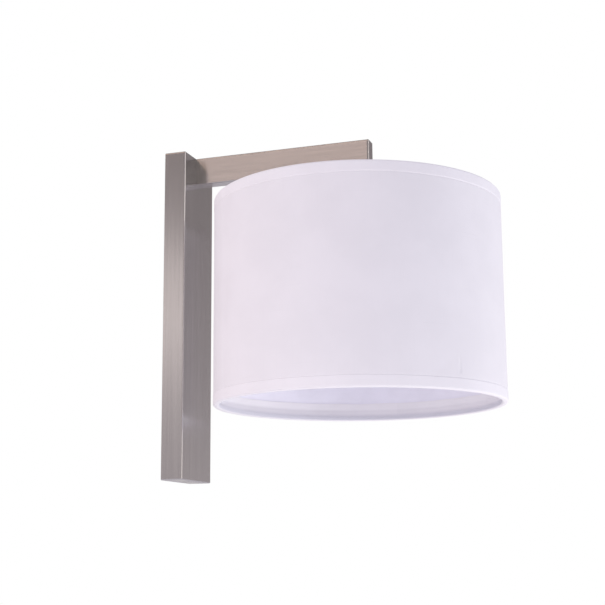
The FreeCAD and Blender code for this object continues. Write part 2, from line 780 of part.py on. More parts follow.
def make_arm_screws():
    """Two screws from inside the post into the plug."""
    head = (S.arm_screw_head_radius, S.arm_screw_head_height)
    screws = []
    for place_name, side in (("lower", -1), ("upper", 1)):
        at = (0, POST_INSIDE_FRONT, ARM_MIDDLE + ARM_SCREW_RISE * side)
        name = place_name + "_arm_screw"
        screws.append(screw(name, at, "in", *head, S.arm_screw_radius, S.arm_screw_length))
    node(together("arm_screw_pair", screws), "arm_screws")


def make_wire_bush():
    """A small bush where the leads pass the post's front wall."""
    at = (0, POST_INSIDE_FRONT, ARM_MIDDLE)
    flange = rod("wire_flange", at, "in", S.wire_bush_flange_radius, S.wire_bush_flange)
    barrel = rod("wire_barrel", at, "out", S.wire_bush_radius, S.post_sheet)
    bore_at = along(at, "out", S.post_sheet)
    bore = rod("wire_bore", bore_at, "in", S.wire_bore_radius, S.post_sheet + S.wire_bush_flange)
    node(cut("bored_wire_bush", fuse("wire_blank", flange, barrel), bore), "wire_bush")


def make_stem():
    """The tube welded under the arm, which carries the lampholder and its leads."""
    at = (0, AXIS_Y, ARM_UNDERSIDE)
    length = ARM_UNDERSIDE - STEM_BOTTOM
    tube = rod("stem_tube", at, "down", S.stem_radius, length)
    bore = rod("stem_bore", at, "down", S.stem_bore_radius, length)
    node(cut("stem_bored", tube, bore), "stem")


# ---------------------------------------------------------------- lampholder


def make_holder_cap():
    """The domed cap on the stem, with a spigot in the shell, and its locking screw."""
    outer = S.holder_thread_radius + S.holder_cap_overhang
    inner = outer - S.holder_cap_wall
    spigot_inner = CORE_RADIUS - S.holder_cap_wall
    collar_bore = S.stem_radius + S.thread_clearance
    ledge = STEM_BOTTOM - S.holder_cap_wall / 2
    dome_foot = SHELL_TOP + S.holder_cap_straight
    corners = [
        (spigot_inner, CORE_TOP + S.fit),
        (CORE_RADIUS, CORE_TOP + S.fit),
        (CORE_RADIUS, SHELL_TOP),
        (outer, SHELL_TOP),
        (outer, dome_foot),
        (S.holder_collar_radius, HOLDER_TOP - S.holder_collar_height, S.holder_dome_radius),
        (S.holder_collar_radius, HOLDER_TOP),
        (collar_bore, HOLDER_TOP),
        (collar_bore, STEM_BOTTOM),
        (S.stem_bore_radius, STEM_BOTTOM),
        (S.stem_bore_radius, ledge),
        (collar_bore, ledge),
        (inner, dome_foot - S.holder_cap_wall / 2, -S.holder_dome_radius),
        (inner, SHELL_TOP + S.holder_cap_wall),
        (spigot_inner, SHELL_TOP + S.holder_cap_wall),
    ]
    cap = turned("holder_cap", corners)
    lock_at = (0, AXIS_Y + S.holder_collar_radius, HOLDER_TOP - S.holder_collar_height / 2)
    lock_length = S.holder_collar_radius - S.stem_radius
    thread = rod("lock_thread", lock_at, "out", S.stem_lock_radius + S.thread_clearance, lock_length)
    node(cut("holder_cap_drilled", cap, thread), "lampholder_cap")
    lock = grub_screw("stem_lock", lock_at, "in", S.stem_lock_radius, lock_length - S.thread_clearance)
    node(lock, "stem_locking_screw")


def make_holder_shell():
    """The shell: an outer skirt with the ring's thread and an inner one for the bulb."""
    seat = CORE_RADIUS + S.fit
    skirt_inner = S.holder_thread_radius - S.holder_skin
    socket_outer = SOCKET_RADIUS + S.holder_skin
    web_top = CORE_UNDERSIDE - S.fit
    web_underside = web_top - S.holder_cap_wall
    flange_top = SHOULDER + S.holder_flange
    corners = [
        (SOCKET_RADIUS, SHELL_BOTTOM),
        (socket_outer, SHELL_BOTTOM),
        (socket_outer, web_underside),
        (skirt_inner, web_underside),
        (skirt_inner, SHELL_BOTTOM),
        (S.holder_thread_radius, SHELL_BOTTOM),
        (S.holder_thread_radius, SHOULDER),
        (FLANGE_RADIUS, SHOULDER),
        (FLANGE_RADIUS, flange_top),
        (S.holder_thread_radius, flange_top),
        (S.holder_thread_radius, SHELL_TOP),
        (seat, SHELL_TOP),
        (seat, web_top),
        (SOCKET_RADIUS, web_top),
    ]
    node(turned("holder_shell", corners), "lampholder_shell")


def make_holder_core():
    """The insulating core, with holes for the leads and their clamping screws."""
    disc = rod("core_disc", (0, AXIS_Y, CORE_UNDERSIDE), "up", CORE_RADIUS, S.holder_core_height)
    hole_low = CORE_TOP - S.clamp_depth
    lead_hole_radius = S.lead_radius + S.thread_clearance
    screw_hole_radius = S.clamp_screw_radius + S.thread_clearance
    head = (S.clamp_screw_radius * CLAMP_HEAD_SHARE, S.clamp_screw_radius)
    length = S.clamp_depth - S.screw_clearance
    holes, screws = [], []
    for name, side in (("live", -1), ("neutral", 1)):
        lead_x = S.clamp_spacing / 2 * side
        screw_x = S.clamp_screw_spacing / 2 * side
        lead_at = (lead_x, AXIS_Y, hole_low)
        holes.append(rod(name + "_lead_hole", lead_at, "up", lead_hole_radius, S.clamp_depth))
        hole_at = (screw_x, AXIS_Y, hole_low)
        holes.append(rod(name + "_clamp_hole", hole_at, "up", screw_hole_radius, S.clamp_depth))
        screw_at = (screw_x, AXIS_Y, CORE_TOP)
        screws.append(screw(name + "_clamp_screw", screw_at, "up", *head, S.clamp_screw_radius, length))
    node(cut("core_drilled", disc, *holes), "lampholder_core")
    node(together("clamp_screw_pair", screws), "lead_clamp_screws")


def make_centre_contact():
    """A bowed spring strip fixed under the core at one end."""
    tip = CONTACT_FOOT - S.contact_bow
    reach = S.bulb_contact_radius
    spring = new_body("spring")
    outline = sketch_on(spring, "spring_outline")
    corners = [
        (reach + S.contact_foot, CORE_UNDERSIDE),
        (reach, CORE_UNDERSIDE),
        (-reach, tip + S.contact_sheet),
        (-reach, tip),
        (reach / 2, tip),
        (reach + S.contact_sheet, CONTACT_FOOT),
        (reach + S.contact_foot, CONTACT_FOOT),
    ]
    draw(outline, corners)
    strip = pad(spring, outline, S.contact_width)
    strip.Midplane = True
    bind(spring, "Placement.Base.y", AXIS_Y)
    node(spring, "centre_contact")


def make_side_contact():
    """A bent tongue that reaches down to the edge of the bulb's cap."""
    half = S.contact_width / 2
    face = AXIS_Y - CAP_CROWN_RADIUS
    leg_low = (-half, face - S.contact_sheet, CAP_TOP + S.touch_gap)
    leg = block("tongue_leg", leg_low, (half, face, CORE_UNDERSIDE))
    foot_low = (-half, face - S.contact_sheet, CONTACT_FOOT)
    foot = block("tongue_foot", foot_low, (half, face + S.contact_foot, CORE_UNDERSIDE))
    node(fuse("tongue", leg, foot), "side_contact")


def make_shade_ring():
    """The threaded ring that clamps the shade's hub, with grips round its collar."""
    bore = S.holder_thread_radius + S.fit
    collar = bore + S.ring_wall
    flange = bore + S.ring_wall + S.ring_flange_width
    bottom = RING_TOP - S.ring_height
    flange_underside = RING_TOP - S.ring_flange
    corners = [
        (bore, bottom),
        (collar, bottom),
        (collar, flange_underside),
        (flange, flange_underside),
        (flange, RING_TOP),
        (bore, RING_TOP),
    ]
    ring = turned("clamp_ring", corners)
    grip = sketch_on(ring, "grip_section", "XY_Plane", offset=bottom)
    half = S.ring_grip_width / 2
    rectangle(grip, (collar - S.ring_wall / 2, -half), (collar + S.ring_grip_depth, half))
    rib = pad(ring, grip, S.ring_height - S.ring_flange)
    pattern = ring.newObject("PartDesign::PolarPattern", "grips")
    pattern.Originals = [rib]
    pattern.Axis = (grip, ["N_Axis"])
    pattern.Angle = 360
    bind(pattern, "Occurrences", S.ring_grip_count)
    ring.Tip = pattern
    node(ring, "shade_ring")


# ---------------------------------------------------------------- shade


def hem_outline(wire_z, rim, side):
    """Corners of a rolled edge, from the outer face round the wire ring to the inner face.

    The fabric runs over the ring, slants back and is glued down inside the liner. Side is 1 at
    the top and -1 at the bottom.
    """
    knee = wire_z - S.hem_knee * side
    tuck_start = rim - S.hem_width * side
    tuck_end = tuck_start - S.hem_tuck * side
    tuck_outer = LINER_RADIUS - S.liner - S.glue_gap
    tuck_inner = tuck_outer - S.fabric
    return [
        (SHADE_RADIUS, wire_z),
        (WIRE_RING_RADIUS, wire_z + HEM_RADIUS * side, HEM_RADIUS * side),
        (WIRE_RING_RADIUS - HEM_RADIUS, wire_z, HEM_RADIUS * side),
        (WIRE_RING_RADIUS - HEM_RADIUS, knee),
        (tuck_inner, tuck_start),
        (tuck_inner, tuck_end),
        (tuck_outer, tuck_end),
        (tuck_outer, tuck_start),
        (WIRE_RING_RADIUS - HEM_BORE, knee),
        (WIRE_RING_RADIUS - HEM_BORE, wire_z),
        (WIRE_RING_RADIUS, wire_z + HEM_BORE * side, -HEM_BORE * side),
        (WIRE_RING_RADIUS + HEM_BORE, wire_z, -HEM_BORE * side),
    ]


def reversed_outline(corners):
    """The same stretches walked the other way, so that each arc keeps its shape."""
    backwards = corners[::-1]
    walked = [backwards[0][:2]]
    for corner, before in zip(backwards[1:], backwards):
        bend = tuple(-radius for radius in before[2:])
        walked.append(corner[:2] + bend)
    return walked


def spider_wires(radius):
    """Wires from the hub to the top ring, the first one pointing at the wall."""
    lie = HUB_TOP.value + S.shade_wire_radius.value
    ring = WIRE_RING_RADIUS.value
    start = (HUB_RADIUS.value + FLANGE_RADIUS.value) / 2
    route = [(start, lie), (ring - S.spider_arm_lean.value, lie), (ring, TOP_WIRE_Z.value)]
    count = int(S.spider_arm_count.value)
    wires = []
    for number in range(count):
        angle = math.pi / 2 + 2 * math.pi * number / count
        across, deep = math.cos(angle), math.sin(angle)
        points = [(reach * across, AXIS_Y.value + reach * deep, z) for reach, z in route]
        wires.append(bent_rod(points, radius))
    return wires


def make_shade_rings():
    """The two wire rings that hold the fabric round."""
    for label, z in (("top_ring_wire", TOP_WIRE_Z), ("bottom_ring_wire", BOTTOM_WIRE_Z)):
        ring = DOC.addObject("Part::Torus", label + "_torus")
        bind(ring, "Radius1", WIRE_RING_RADIUS)
        bind(ring, "Radius2", S.shade_wire_radius)
        node(place(ring, 0, AXIS_Y, z), label)


def make_shade_fabric():
    """The drum of fabric with both edges rolled, notched where the spider's arms pass."""
    top = hem_outline(TOP_WIRE_Z, SHADE_TOP, 1)
    bottom = hem_outline(BOTTOM_WIRE_Z, SHADE_BOTTOM, -1)
    cloth = turned("cloth", top + reversed_outline(bottom))
    notches = DOC.addObject("Part::Feature", "spider_notches")
    notches.Shape = Part.makeCompound(spider_wires(S.shade_wire_radius.value + S.touch_gap.value))
    node(cut("cloth_notched", cloth, notches), "shade_fabric")


def make_shade_liner():
    """The stiff sheet that the fabric is glued to, cut short of both rims."""
    low, high = SHADE_BOTTOM + S.hem_width, SHADE_TOP - S.hem_width
    inner = LINER_RADIUS - S.liner
    corners = [(inner, low), (LINER_RADIUS, low), (LINER_RADIUS, high), (inner, high)]
    node(turned("stiff_liner", corners), "shade_liner")


def make_spider():
    """The wires welded to the top ring and the flat hub under them."""
    ring = Part.makeTorus(WIRE_RING_RADIUS.value, S.shade_wire_radius.value)
    ring.translate(VECTOR(0, AXIS_Y.value, TOP_WIRE_Z.value))
    wires = []
    for wire in spider_wires(S.shade_wire_radius.value):
        pieces = wire.cut(ring).Solids
        wires.append(max(pieces, key=lambda piece: piece.Volume))
    arms = DOC.addObject("Part::Feature", "spider_wire_set")
    arms.Shape = Part.makeCompound(wires)
    node(arms, "spider_arms")
    corners = [
        (HUB_BORE_RADIUS, HUB_UNDERSIDE),
        (HUB_RADIUS, HUB_UNDERSIDE),
        (HUB_RADIUS, HUB_TOP),
        (HUB_BORE_RADIUS, HUB_TOP),
    ]
    node(turned("hub", corners), "spider_hub")


# ---------------------------------------------------------------- bulb


def make_bulb_cap():
    """The bulb's screw cap, with its insulator and contact on top."""
    inner = S.bulb_cap_radius - S.bulb_cap_sheet
    shoulder = CAP_TOP - S.bulb_cap_chamfer
    crown_inner = CAP_CROWN_RADIUS - S.bulb_insulator_rim
    corners = [
        (inner, CAP_BOTTOM),
        (S.bulb_cap_radius, CAP_BOTTOM),
        (S.bulb_cap_radius, shoulder),
        (CAP_CROWN_RADIUS, CAP_TOP),
        (crown_inner, CAP_TOP),
        (crown_inner, CAP_TOP - S.bulb_cap_sheet),
        (CAP_CROWN_RADIUS - S.bulb_cap_sheet, CAP_TOP - S.bulb_cap_sheet),
        (inner, shoulder - S.bulb_cap_sheet),
    ]
    node(turned("screw_cap", corners), "bulb_cap")
    insulator = DOC.addObject("Part::Cone", "insulator")
    bind(insulator, "Radius1", CAP_CROWN_RADIUS)
    bind(insulator, "Radius2", S.bulb_contact_radius + S.bulb_cap_sheet)
    bind(insulator, "Height", S.bulb_insulator_height)
    node(place(insulator, 0, AXIS_Y, CAP_TOP), "bulb_insulator")
    contact_at = (0, AXIS_Y, BULB_TOP)
    contact = rod("contact_disc", contact_at, "down", S.bulb_contact_radius, S.bulb_contact_height)
    node(contact, "bulb_contact")


def rim_radius(wall):
    """Radius of the bulb's ball at the height of the rim, that far inside its surface."""
    ball = S.bulb_diameter / 2 - wall
    formula = f"sqrt({ball.formula} ^ 2 - {S.bulb_rim_rise.formula} ^ 2)"
    return Size(formula, math.sqrt(ball.value**2 - S.bulb_rim_rise.value**2))


def make_bulb_housing():
    """The flared housing, with a spigot in the screw cap."""
    neck = S.bulb_cap_radius + S.bulb_neck_step
    neck_foot = CAP_BOTTOM - S.bulb_neck_height
    spigot = S.bulb_cap_radius - S.bulb_cap_sheet - S.fit
    spigot_top = CAP_BOTTOM + S.bulb_cap_length / 2
    corners = [
        (rim_radius(0), BULB_RIM),
        (neck, neck_foot, -S.bulb_flank_radius),
        (neck, CAP_BOTTOM - S.thread_clearance),
        (spigot, CAP_BOTTOM - S.thread_clearance),
        (spigot, spigot_top),
        (spigot - S.bulb_wall, spigot_top),
        (spigot - S.bulb_wall, neck_foot),
        (rim_radius(0) - S.bulb_wall, BULB_RIM, S.bulb_flank_radius),
    ]
    node(turned("housing", corners), "bulb_housing")


def make_bulb_boards():
    """The light board across the housing's rim, its chips and the driver board above it."""
    radius = rim_radius(0) - S.bulb_wall - S.bulb_board_inset
    low = BULB_RIM + S.seat_gap
    node(rod("light_disc", (0, AXIS_Y, low), "up", radius, S.bulb_board), "bulb_led_board")
    half = S.led_size / 2
    count = int(S.led_count.value)
    chips = []
    for number in range(count):
        angle = 2 * math.pi * number / count
        x = S.led_circle_radius * math.cos(angle)
        y = AXIS_Y + S.led_circle_radius * math.sin(angle)
        chip_low = (x - half, y - half, low - S.led_height)
        chips.append(block(f"chip_{number}", chip_low, (x + half, y + half, low)))
    node(together("chip_set", chips), "bulb_leds")
    driver_half, board_half = S.driver_width / 2, S.bulb_board / 2
    driver_low = (-driver_half, AXIS_Y - board_half, low + S.bulb_board)
    driver_high = (driver_half, AXIS_Y + board_half, CAP_BOTTOM + S.bulb_cap_length / 2)
    node(block("driver", driver_low, driver_high), "bulb_driver_board")


def make_bulb_diffuser():
    """The frosted bowl that closes the bulb below its rim."""
    outside = S.bulb_diameter / 2
    inside = outside - S.bulb_wall
    corners = [
        (0, BULB_BOTTOM),
        (outside, BULB_CENTRE, outside),
        (rim_radius(0), BULB_RIM, outside),
        (rim_radius(S.bulb_wall), BULB_RIM),
        (inside, BULB_CENTRE, -inside),
        (0, BULB_BOTTOM + S.bulb_wall, -inside),
    ]
    node(turned("bowl", corners), "bulb_diffuser")


# ---------------------------------------------------------------- leads


def lead(label, route):
    """One insulated lead along its route."""
    item = DOC.addObject("Part::Feature", label + "_route")
    points = [tuple(as_size(entry).value for entry in point) for point in route]
    item.Shape = bent_rod(points, S.lead_radius.value)
    node(item, label)


def make_leads():
    """Live and neutral from the terminals through the arm to the core, and earth to its lug."""
    live_pole, neutral_pole, earth_pole = pole_places()
    insert_rise = S.terminal_insert_length / 2 - S.lead_hold
    for label, pole_x, side in (("live_lead", live_pole, -1), ("neutral_lead", neutral_pole, 1)):
        pair_x = S.lead_spacing / 2 * side
        clamp_x = S.clamp_spacing / 2 * side
        route = [
            (pole_x, TERMINAL_WIRE_Y, S.terminal_rise + insert_rise),
            (pole_x, TERMINAL_WIRE_Y, TERMINAL_TOP + S.lead_straight),
            (pair_x, TERMINAL_WIRE_Y, ARM_MIDDLE - S.lead_bend),
            (pair_x, TERMINAL_WIRE_Y, ARM_MIDDLE),
            (pair_x, AXIS_Y, ARM_MIDDLE),
            (pair_x, AXIS_Y, STEM_BOTTOM - S.holder_cap_wall / 2 - S.lead_ease),
            (clamp_x, AXIS_Y, CORE_TOP + S.lead_rise),
            (clamp_x, AXIS_Y, CORE_TOP - S.clamp_depth + S.screw_clearance),
        ]
        lead(label, route)
    lug_y = EARTH_FACE - S.earth_lug_barrel_radius
    route = [
        (S.earth_screw_right, lug_y, EARTH_BARREL_LOW + S.screw_clearance),
        (S.earth_screw_right, lug_y, EARTH_BARREL_LOW + S.earth_lug_barrel_length + S.lead_straight),
        (earth_pole, TERMINAL_WIRE_Y, TERMINAL_BOTTOM - S.lead_straight),
        (earth_pole, TERMINAL_WIRE_Y, S.terminal_rise - insert_rise),
    ]
    lead("earth_lead", route)


# ---------------------------------------------------------------- build, check and write


def check_and_write():
    DOC.recompute()
    failed = [item.Name for item in DOC.Objects if {"Invalid", "Error"} & set(item.State)]
    if failed:
        raise RuntimeError(f"these objects failed: {failed}")
    for item in NODES:
        shape = item.Shape
        if shape.isNull() or not shape.isValid() or not shape.Solids:
            raise RuntimeError(f"{item.Label} has no valid shape")
    os.makedirs("parts", exist_ok=True)
    for item in NODES:
        item.Shape.exportStep(f"parts/{item.Label}.step")
        print(f"{item.Label:24s} {len(item.Shape.Solids)} solids {item.Shape.Volume:12.1f} mm3")
    print(len(NODES), "nodes")


make_wall_bracket()
make_weld_nuts()
make_cover_screws()
make_cable_bush()
make_terminals()
make_earth_point()
make_post_cover()
make_arm_tube()
make_end_cap()
make_root_plug()
make_arm_screws()
make_wire_bush()
make_stem()
make_holder_cap()
make_holder_shell()
make_holder_core()
make_centre_contact()
make_side_contact()
make_shade_ring()
make_shade_rings()
make_shade_fabric()
make_shade_liner()
make_spider()
make_bulb_cap()
make_bulb_housing()
make_bulb_boards()
make_bulb_diffuser()
make_leads()
check_and_write()
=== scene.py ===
"""The wall light's cloth shade, metal, fittings, wiring and bulb, with camera and soft studio light."""

import math

import bmesh
import bpy
from mathutils import Matrix, Vector, noise


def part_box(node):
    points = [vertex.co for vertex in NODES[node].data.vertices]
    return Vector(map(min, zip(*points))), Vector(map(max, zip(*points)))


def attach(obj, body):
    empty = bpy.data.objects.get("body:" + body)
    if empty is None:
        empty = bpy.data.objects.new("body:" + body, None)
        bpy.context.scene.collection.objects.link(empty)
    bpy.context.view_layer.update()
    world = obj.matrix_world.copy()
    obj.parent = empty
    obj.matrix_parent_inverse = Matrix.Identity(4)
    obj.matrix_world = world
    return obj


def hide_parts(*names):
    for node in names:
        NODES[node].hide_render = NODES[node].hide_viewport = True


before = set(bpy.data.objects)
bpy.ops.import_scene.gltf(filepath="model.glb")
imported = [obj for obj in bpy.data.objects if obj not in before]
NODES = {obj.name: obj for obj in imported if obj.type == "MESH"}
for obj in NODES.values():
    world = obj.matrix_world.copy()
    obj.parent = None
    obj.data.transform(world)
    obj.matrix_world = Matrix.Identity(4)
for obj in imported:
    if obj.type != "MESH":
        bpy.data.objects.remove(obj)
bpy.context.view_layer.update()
MM = 0.001


# ---------------------------------------------------------------- places taken from the solids

FABRIC_LOW, FABRIC_HIGH = (Vector(corner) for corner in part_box("shade_fabric"))
AXIS_Y = (FABRIC_LOW.y + FABRIC_HIGH.y) / 2
SHADE_RADIUS = (FABRIC_HIGH.x - FABRIC_LOW.x) / 2
RIM_TOP = FABRIC_HIGH.z
RIM_BOTTOM = FABRIC_LOW.z


# ---------------------------------------------------------------- mesh helpers


def mesh_object(name, points, faces, smooth_angle=None):
    mesh = bpy.data.meshes.new(name)
    mesh.from_pydata([tuple(point) for point in points], [], faces)
    mesh.validate()
    mesh.update()
    piece = bpy.data.objects.new(name, mesh)
    bpy.context.scene.collection.objects.link(piece)
    mesh.shade_smooth()
    if smooth_angle is not None:
        mesh.set_sharp_from_angle(angle=smooth_angle)
    return piece


def ring_of_profiles(name, angles, profile_at, smooth_angle):
    """A closed band round the shade's axis: one closed outline of (radius, z) at each angle."""
    points, faces = [], []
    count = len(profile_at(angles[0]))
    for angle in angles:
        for radius, height in profile_at(angle):
            points.append((radius * math.cos(angle), AXIS_Y + radius * math.sin(angle), height))
    for turn in range(len(angles)):
        onward = (turn + 1) % len(angles)
        for step in range(count):
            ahead = (step + 1) % count
            faces.append((turn * count + step, onward * count + step,
                          onward * count + ahead, turn * count + ahead))
    return mesh_object(name, points, faces, smooth_angle)


def lay_map(piece, count, map_at):
    """Give each corner of a band, with count points to an outline, its place on the flat cloth."""
    layer = piece.data.uv_layers.new(name="cloth_map")
    for face in piece.data.polygons:
        turn, step = divmod(face.index, count)
        corners = ((turn, step), (turn + 1, step), (turn + 1, step + 1), (turn, step + 1))
        for loop, (across, along) in zip(face.loop_indices, corners):
            layer.data[loop].uv = map_at(across, along)


def even_angles(count):
    return [2 * math.pi * step / count for step in range(count)]


def smooth_step(low, high, value):
    share = min(max((value - low) / (high - low), 0), 1)
    return share * share * (3 - 2 * share)


# ---------------------------------------------------------------- cloth shade

# the cloth goes round each ring wire and comes back behind itself, to end inside the shade;
# a power below 1 makes the rim's outer corner squarer than round
CLOTH = 0.5 * MM
WIRE_INSET = 2.3 * MM
WIRE_CIRCLE = SHADE_RADIUS - WIRE_INSET
HEM_MIDDLE = 2.05 * MM
CORNER_POWER = 0.4
TUCK_RADIUS = SHADE_RADIUS - 1.25 * MM
TUCK_START = 8 * MM
TUCK_END = 13 * MM
HEM_TURN_ROWS = 30

# the double layer ends at a sewn line, which wanders a little
HEM_LINE = 7.5 * MM
HEM_RISE = 0.22 * MM
HEM_GROOVE = 0.14 * MM
HEM_WANDER = 0.3 * MM

# rows of the outer face near a rim, in millimetres from it, closest together at the sewn line
HEM_ROWS = (3.4, 4.6, 6.0, 6.8, 7.1, 7.3, 7.5, 7.7, 7.9, 8.1, 8.4, 8.9, 10.0, 11.0, 12.2)
PLAIN_START = 14 * MM
PLAIN_ROWS = 30
COLUMNS = 300

# slight waves on the outer face, and an uneven cut edge inside
WAVE_RISE = 0.16 * MM
WAVE_FADE = 12 * MM
EDGE_WANDER = 0.5 * MM

# painted shade: the cloth is darkened grey-blue where it is turned in, a little way from each of its cut
# edges, for the shade in the crease there
CREASE_SHADE_FROM_END = 12.5 * MM
CREASE_SHADE_GREY = (0.60, 0.60, 0.66)

# one short upright dent, with extra columns across it in millimetres
PUCKER_ANGLE = math.radians(235.5)
PUCKER_WIDTH = 0.85 * MM
PUCKER_DEPTH = 0.65 * MM
PUCKER_EASE = 3 * MM
PUCKER_LOW = RIM_BOTTOM + 10 * MM
PUCKER_HIGH = RIM_BOTTOM + 19 * MM
PUCKER_COLUMNS = (-1.6, -1.1, -0.7, -0.35, 0, 0.35, 0.7, 1.1, 1.6)

# the upright seam where the cloth's ends overlap, with extra columns across it in millimetres
SEAM_ANGLE = math.radians(128.8)
SEAM_WIDTH = 10 * MM
SEAM_RISE = 0.3 * MM
SEAM_EDGE = 0.5 * MM
SEAM_FADE = 3 * MM
SEAM_COLUMNS = (-0.3, 0.0, 0.25, 0.5, 0.9, 7.0, 8.5, 10.0)

# notches in the inner hem for the spider arms
SPIDER_ARMS = 3
FIRST_ARM = 90
NOTCH_RADIUS = 1.8 * MM
NOTCH_REACH = 14.8 * MM
NOTCH_RISE = 1.5 * MM


def hem_path(rim, inward):
    """The middle line of the cloth from its outer face round a ring wire and back inside."""
    centre_z = rim + inward * WIRE_INSET
    target = Vector((TUCK_RADIUS - WIRE_CIRCLE, TUCK_START - WIRE_INSET))
    leave = 2 * math.pi + math.atan2(-target.y, target.x) - math.acos(HEM_MIDDLE / target.length)
    line = []
    for step in range(HEM_TURN_ROWS + 1):
        turn = leave * step / HEM_TURN_ROWS
        across, upward = math.cos(turn), math.sin(turn)
        if across > 0 and upward > 0:
            across, upward = across ** CORNER_POWER, upward ** CORNER_POWER
        line.append((WIRE_CIRCLE + HEM_MIDDLE * across, centre_z - inward * HEM_MIDDLE * upward))
    last_radius, last_z = line[-1]
    for share in (0.25, 0.5, 0.75, 0.92):
        line.append((last_radius + (TUCK_RADIUS - last_radius) * share,
                     last_z + (rim + inward * TUCK_START - last_z) * share))
    for depth in (TUCK_START + 0.4 * MM, 9.5 * MM, 11 * MM, 12.3 * MM, TUCK_END):
        line.append((TUCK_RADIUS, rim + inward * depth))
    return line


def cloth_middle():
    """The middle line of the whole cloth, from the lower tuck over the outer face to the upper tuck."""
    lower = list(reversed(hem_path(RIM_BOTTOM, 1)))
    upper = hem_path(RIM_TOP, -1)
    low, high = lower[-1][1], upper[0][1]
    stations = set()
    for rim, inward in ((RIM_BOTTOM, 1), (RIM_TOP, -1)):
        for depth in HEM_ROWS:
            stations.add(round(rim + inward * depth * MM, 6))
    first, last = RIM_BOTTOM + PLAIN_START, RIM_TOP - PLAIN_START
    for row in range(PLAIN_ROWS + 1):
        stations.add(round(first + (last - first) * row / PLAIN_ROWS, 6))
    radius = SHADE_RADIUS - CLOTH / 2
    outer = [(radius, height) for height in sorted(stations) if low < height < high]
    return lower + outer + upper, (len(lower), len(lower) + len(outer))


def offset_line(line, distance):
    """A line of (radius, z) moved sideways by one distance all along."""
    moved = []
    for index, (radius, height) in enumerate(line):
        before = Vector(line[max(index - 1, 0)])
        after = Vector(line[min(index + 1, len(line) - 1)])
        along = (after - before).normalized()
        moved.append((radius + along.y * distance, height - along.x * distance))
    return moved


def uneven(angle, height, around, upward):
    """Smooth noise over the cloth, with one scale around the shade and one along its height."""
    return noise.noise(Vector((math.cos(angle) * around, math.sin(angle) * around, height * upward)))


def pucker(angle, height):
    """How deep the cloth is drawn in at one short upright dent above the lower hem."""
    across = math.exp(-((angle - PUCKER_ANGLE) * SHADE_RADIUS / PUCKER_WIDTH) ** 2)
    upward = smooth_step(PUCKER_LOW, PUCKER_LOW + PUCKER_EASE, height)
    upward *= 1 - smooth_step(PUCKER_HIGH - PUCKER_EASE, PUCKER_HIGH, height)
    return PUCKER_DEPTH * across * upward


def outer_rise(angle, height):
    """How far the outer face stands proud: the hem's double layer, the seam, and a slight waviness."""
    depth = min(height - RIM_BOTTOM, RIM_TOP - height)
    inside = HEM_LINE - depth - HEM_WANDER * uneven(angle, height, 3, 20)
    hem = HEM_RISE * smooth_step(-0.1 * MM, 0.3 * MM, inside)
    groove = HEM_GROOVE * math.exp(-((inside + 0.35 * MM) / (0.25 * MM)) ** 2)
    past = (angle - SEAM_ANGLE) % (2 * math.pi) * SHADE_RADIUS
    seam = SEAM_RISE * smooth_step(0, SEAM_EDGE, past)
    seam *= 1 - smooth_step(SEAM_WIDTH - SEAM_FADE, SEAM_WIDTH, past)
    wave = WAVE_RISE * uneven(angle, height, 2.2, 28) * smooth_step(0, WAVE_FADE, depth)
    return hem - groove + seam + wave - pucker(angle, height)


def hem_lines_along():
    """Where the two hem lines lie along the cloth's middle line, as lengths from its lower end."""
    middle, _ = cloth_middle()
    lengths = lengths_along(middle)
    at = [lengths[index] for index, (radius, height) in enumerate(middle)
          if radius > SHADE_RADIUS - CLOTH and min(height - RIM_BOTTOM, RIM_TOP - height) >= HEM_LINE]
    return at[0], at[-1]


def lengths_along(line):
    """The length from a line's start to each of its points."""
    lengths = [0.0]
    for before, after in zip(line, line[1:]):
        lengths.append(lengths[-1] + math.dist(before, after))
    return lengths


def cloth_angles():
    """The angles of the cloth's columns, with extra ones at the seam and the dent."""
    angles = even_angles(COLUMNS)
    for past in SEAM_COLUMNS:
        angles.append((SEAM_ANGLE + past * MM / SHADE_RADIUS) % (2 * math.pi))
    for past in PUCKER_COLUMNS:
        angles.append(PUCKER_ANGLE + past * MM / SHADE_RADIUS)
    return sorted(set(round(angle, 6) for angle in angles))


def cutting_rod(start, end, radius):
    """A round rod from one point to another, to cut with."""
    run = end - start
    turn = run.to_track_quat("Z", "Y").to_matrix().to_4x4()
    shape = bmesh.new()
    bmesh.ops.create_cone(shape, cap_ends=True, segments=24, radius1=radius, radius2=radius,
                          depth=run.length, matrix=Matrix.Translation((start + end) / 2) @ turn)
    mesh = bpy.data.meshes.new("cutting_rod")
    shape.to_mesh(mesh)
    shape.free()
    rod = bpy.data.objects.new("cutting_rod", mesh)
    bpy.context.scene.collection.objects.link(rod)
    return rod


def cut_away(piece, cutter):
    """Take the cutter's volume out of a piece, and the cutter out of the scene."""
    opening = piece.modifiers.new("notch", "BOOLEAN")
    opening.operation = "DIFFERENCE"
    opening.solver = "EXACT"
    opening.object = cutter
    bpy.context.view_layer.objects.active = piece
    bpy.ops.object.modifier_apply(modifier=opening.name)
    bpy.data.objects.remove(cutter)


def cut_round_arms(piece):
    """Open the inner hem where each spider arm comes up to the top ring wire."""
    low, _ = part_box("spider_arms")
    centre = Vector((0, AXIS_Y, 0))
    for index in range(SPIDER_ARMS):
        angle = math.radians(FIRST_ARM + 360 / SPIDER_ARMS * index)
        facing = Vector((math.cos(angle), math.sin(angle), 0))
        start = centre + facing * (SHADE_RADIUS - NOTCH_REACH) + Vector((0, 0, low[2] + NOTCH_RISE))
        end = centre + facing * WIRE_CIRCLE + Vector((0, 0, RIM_TOP - WIRE_INSET))
        cut_away(piece, cutting_rod(start, end, NOTCH_RADIUS))


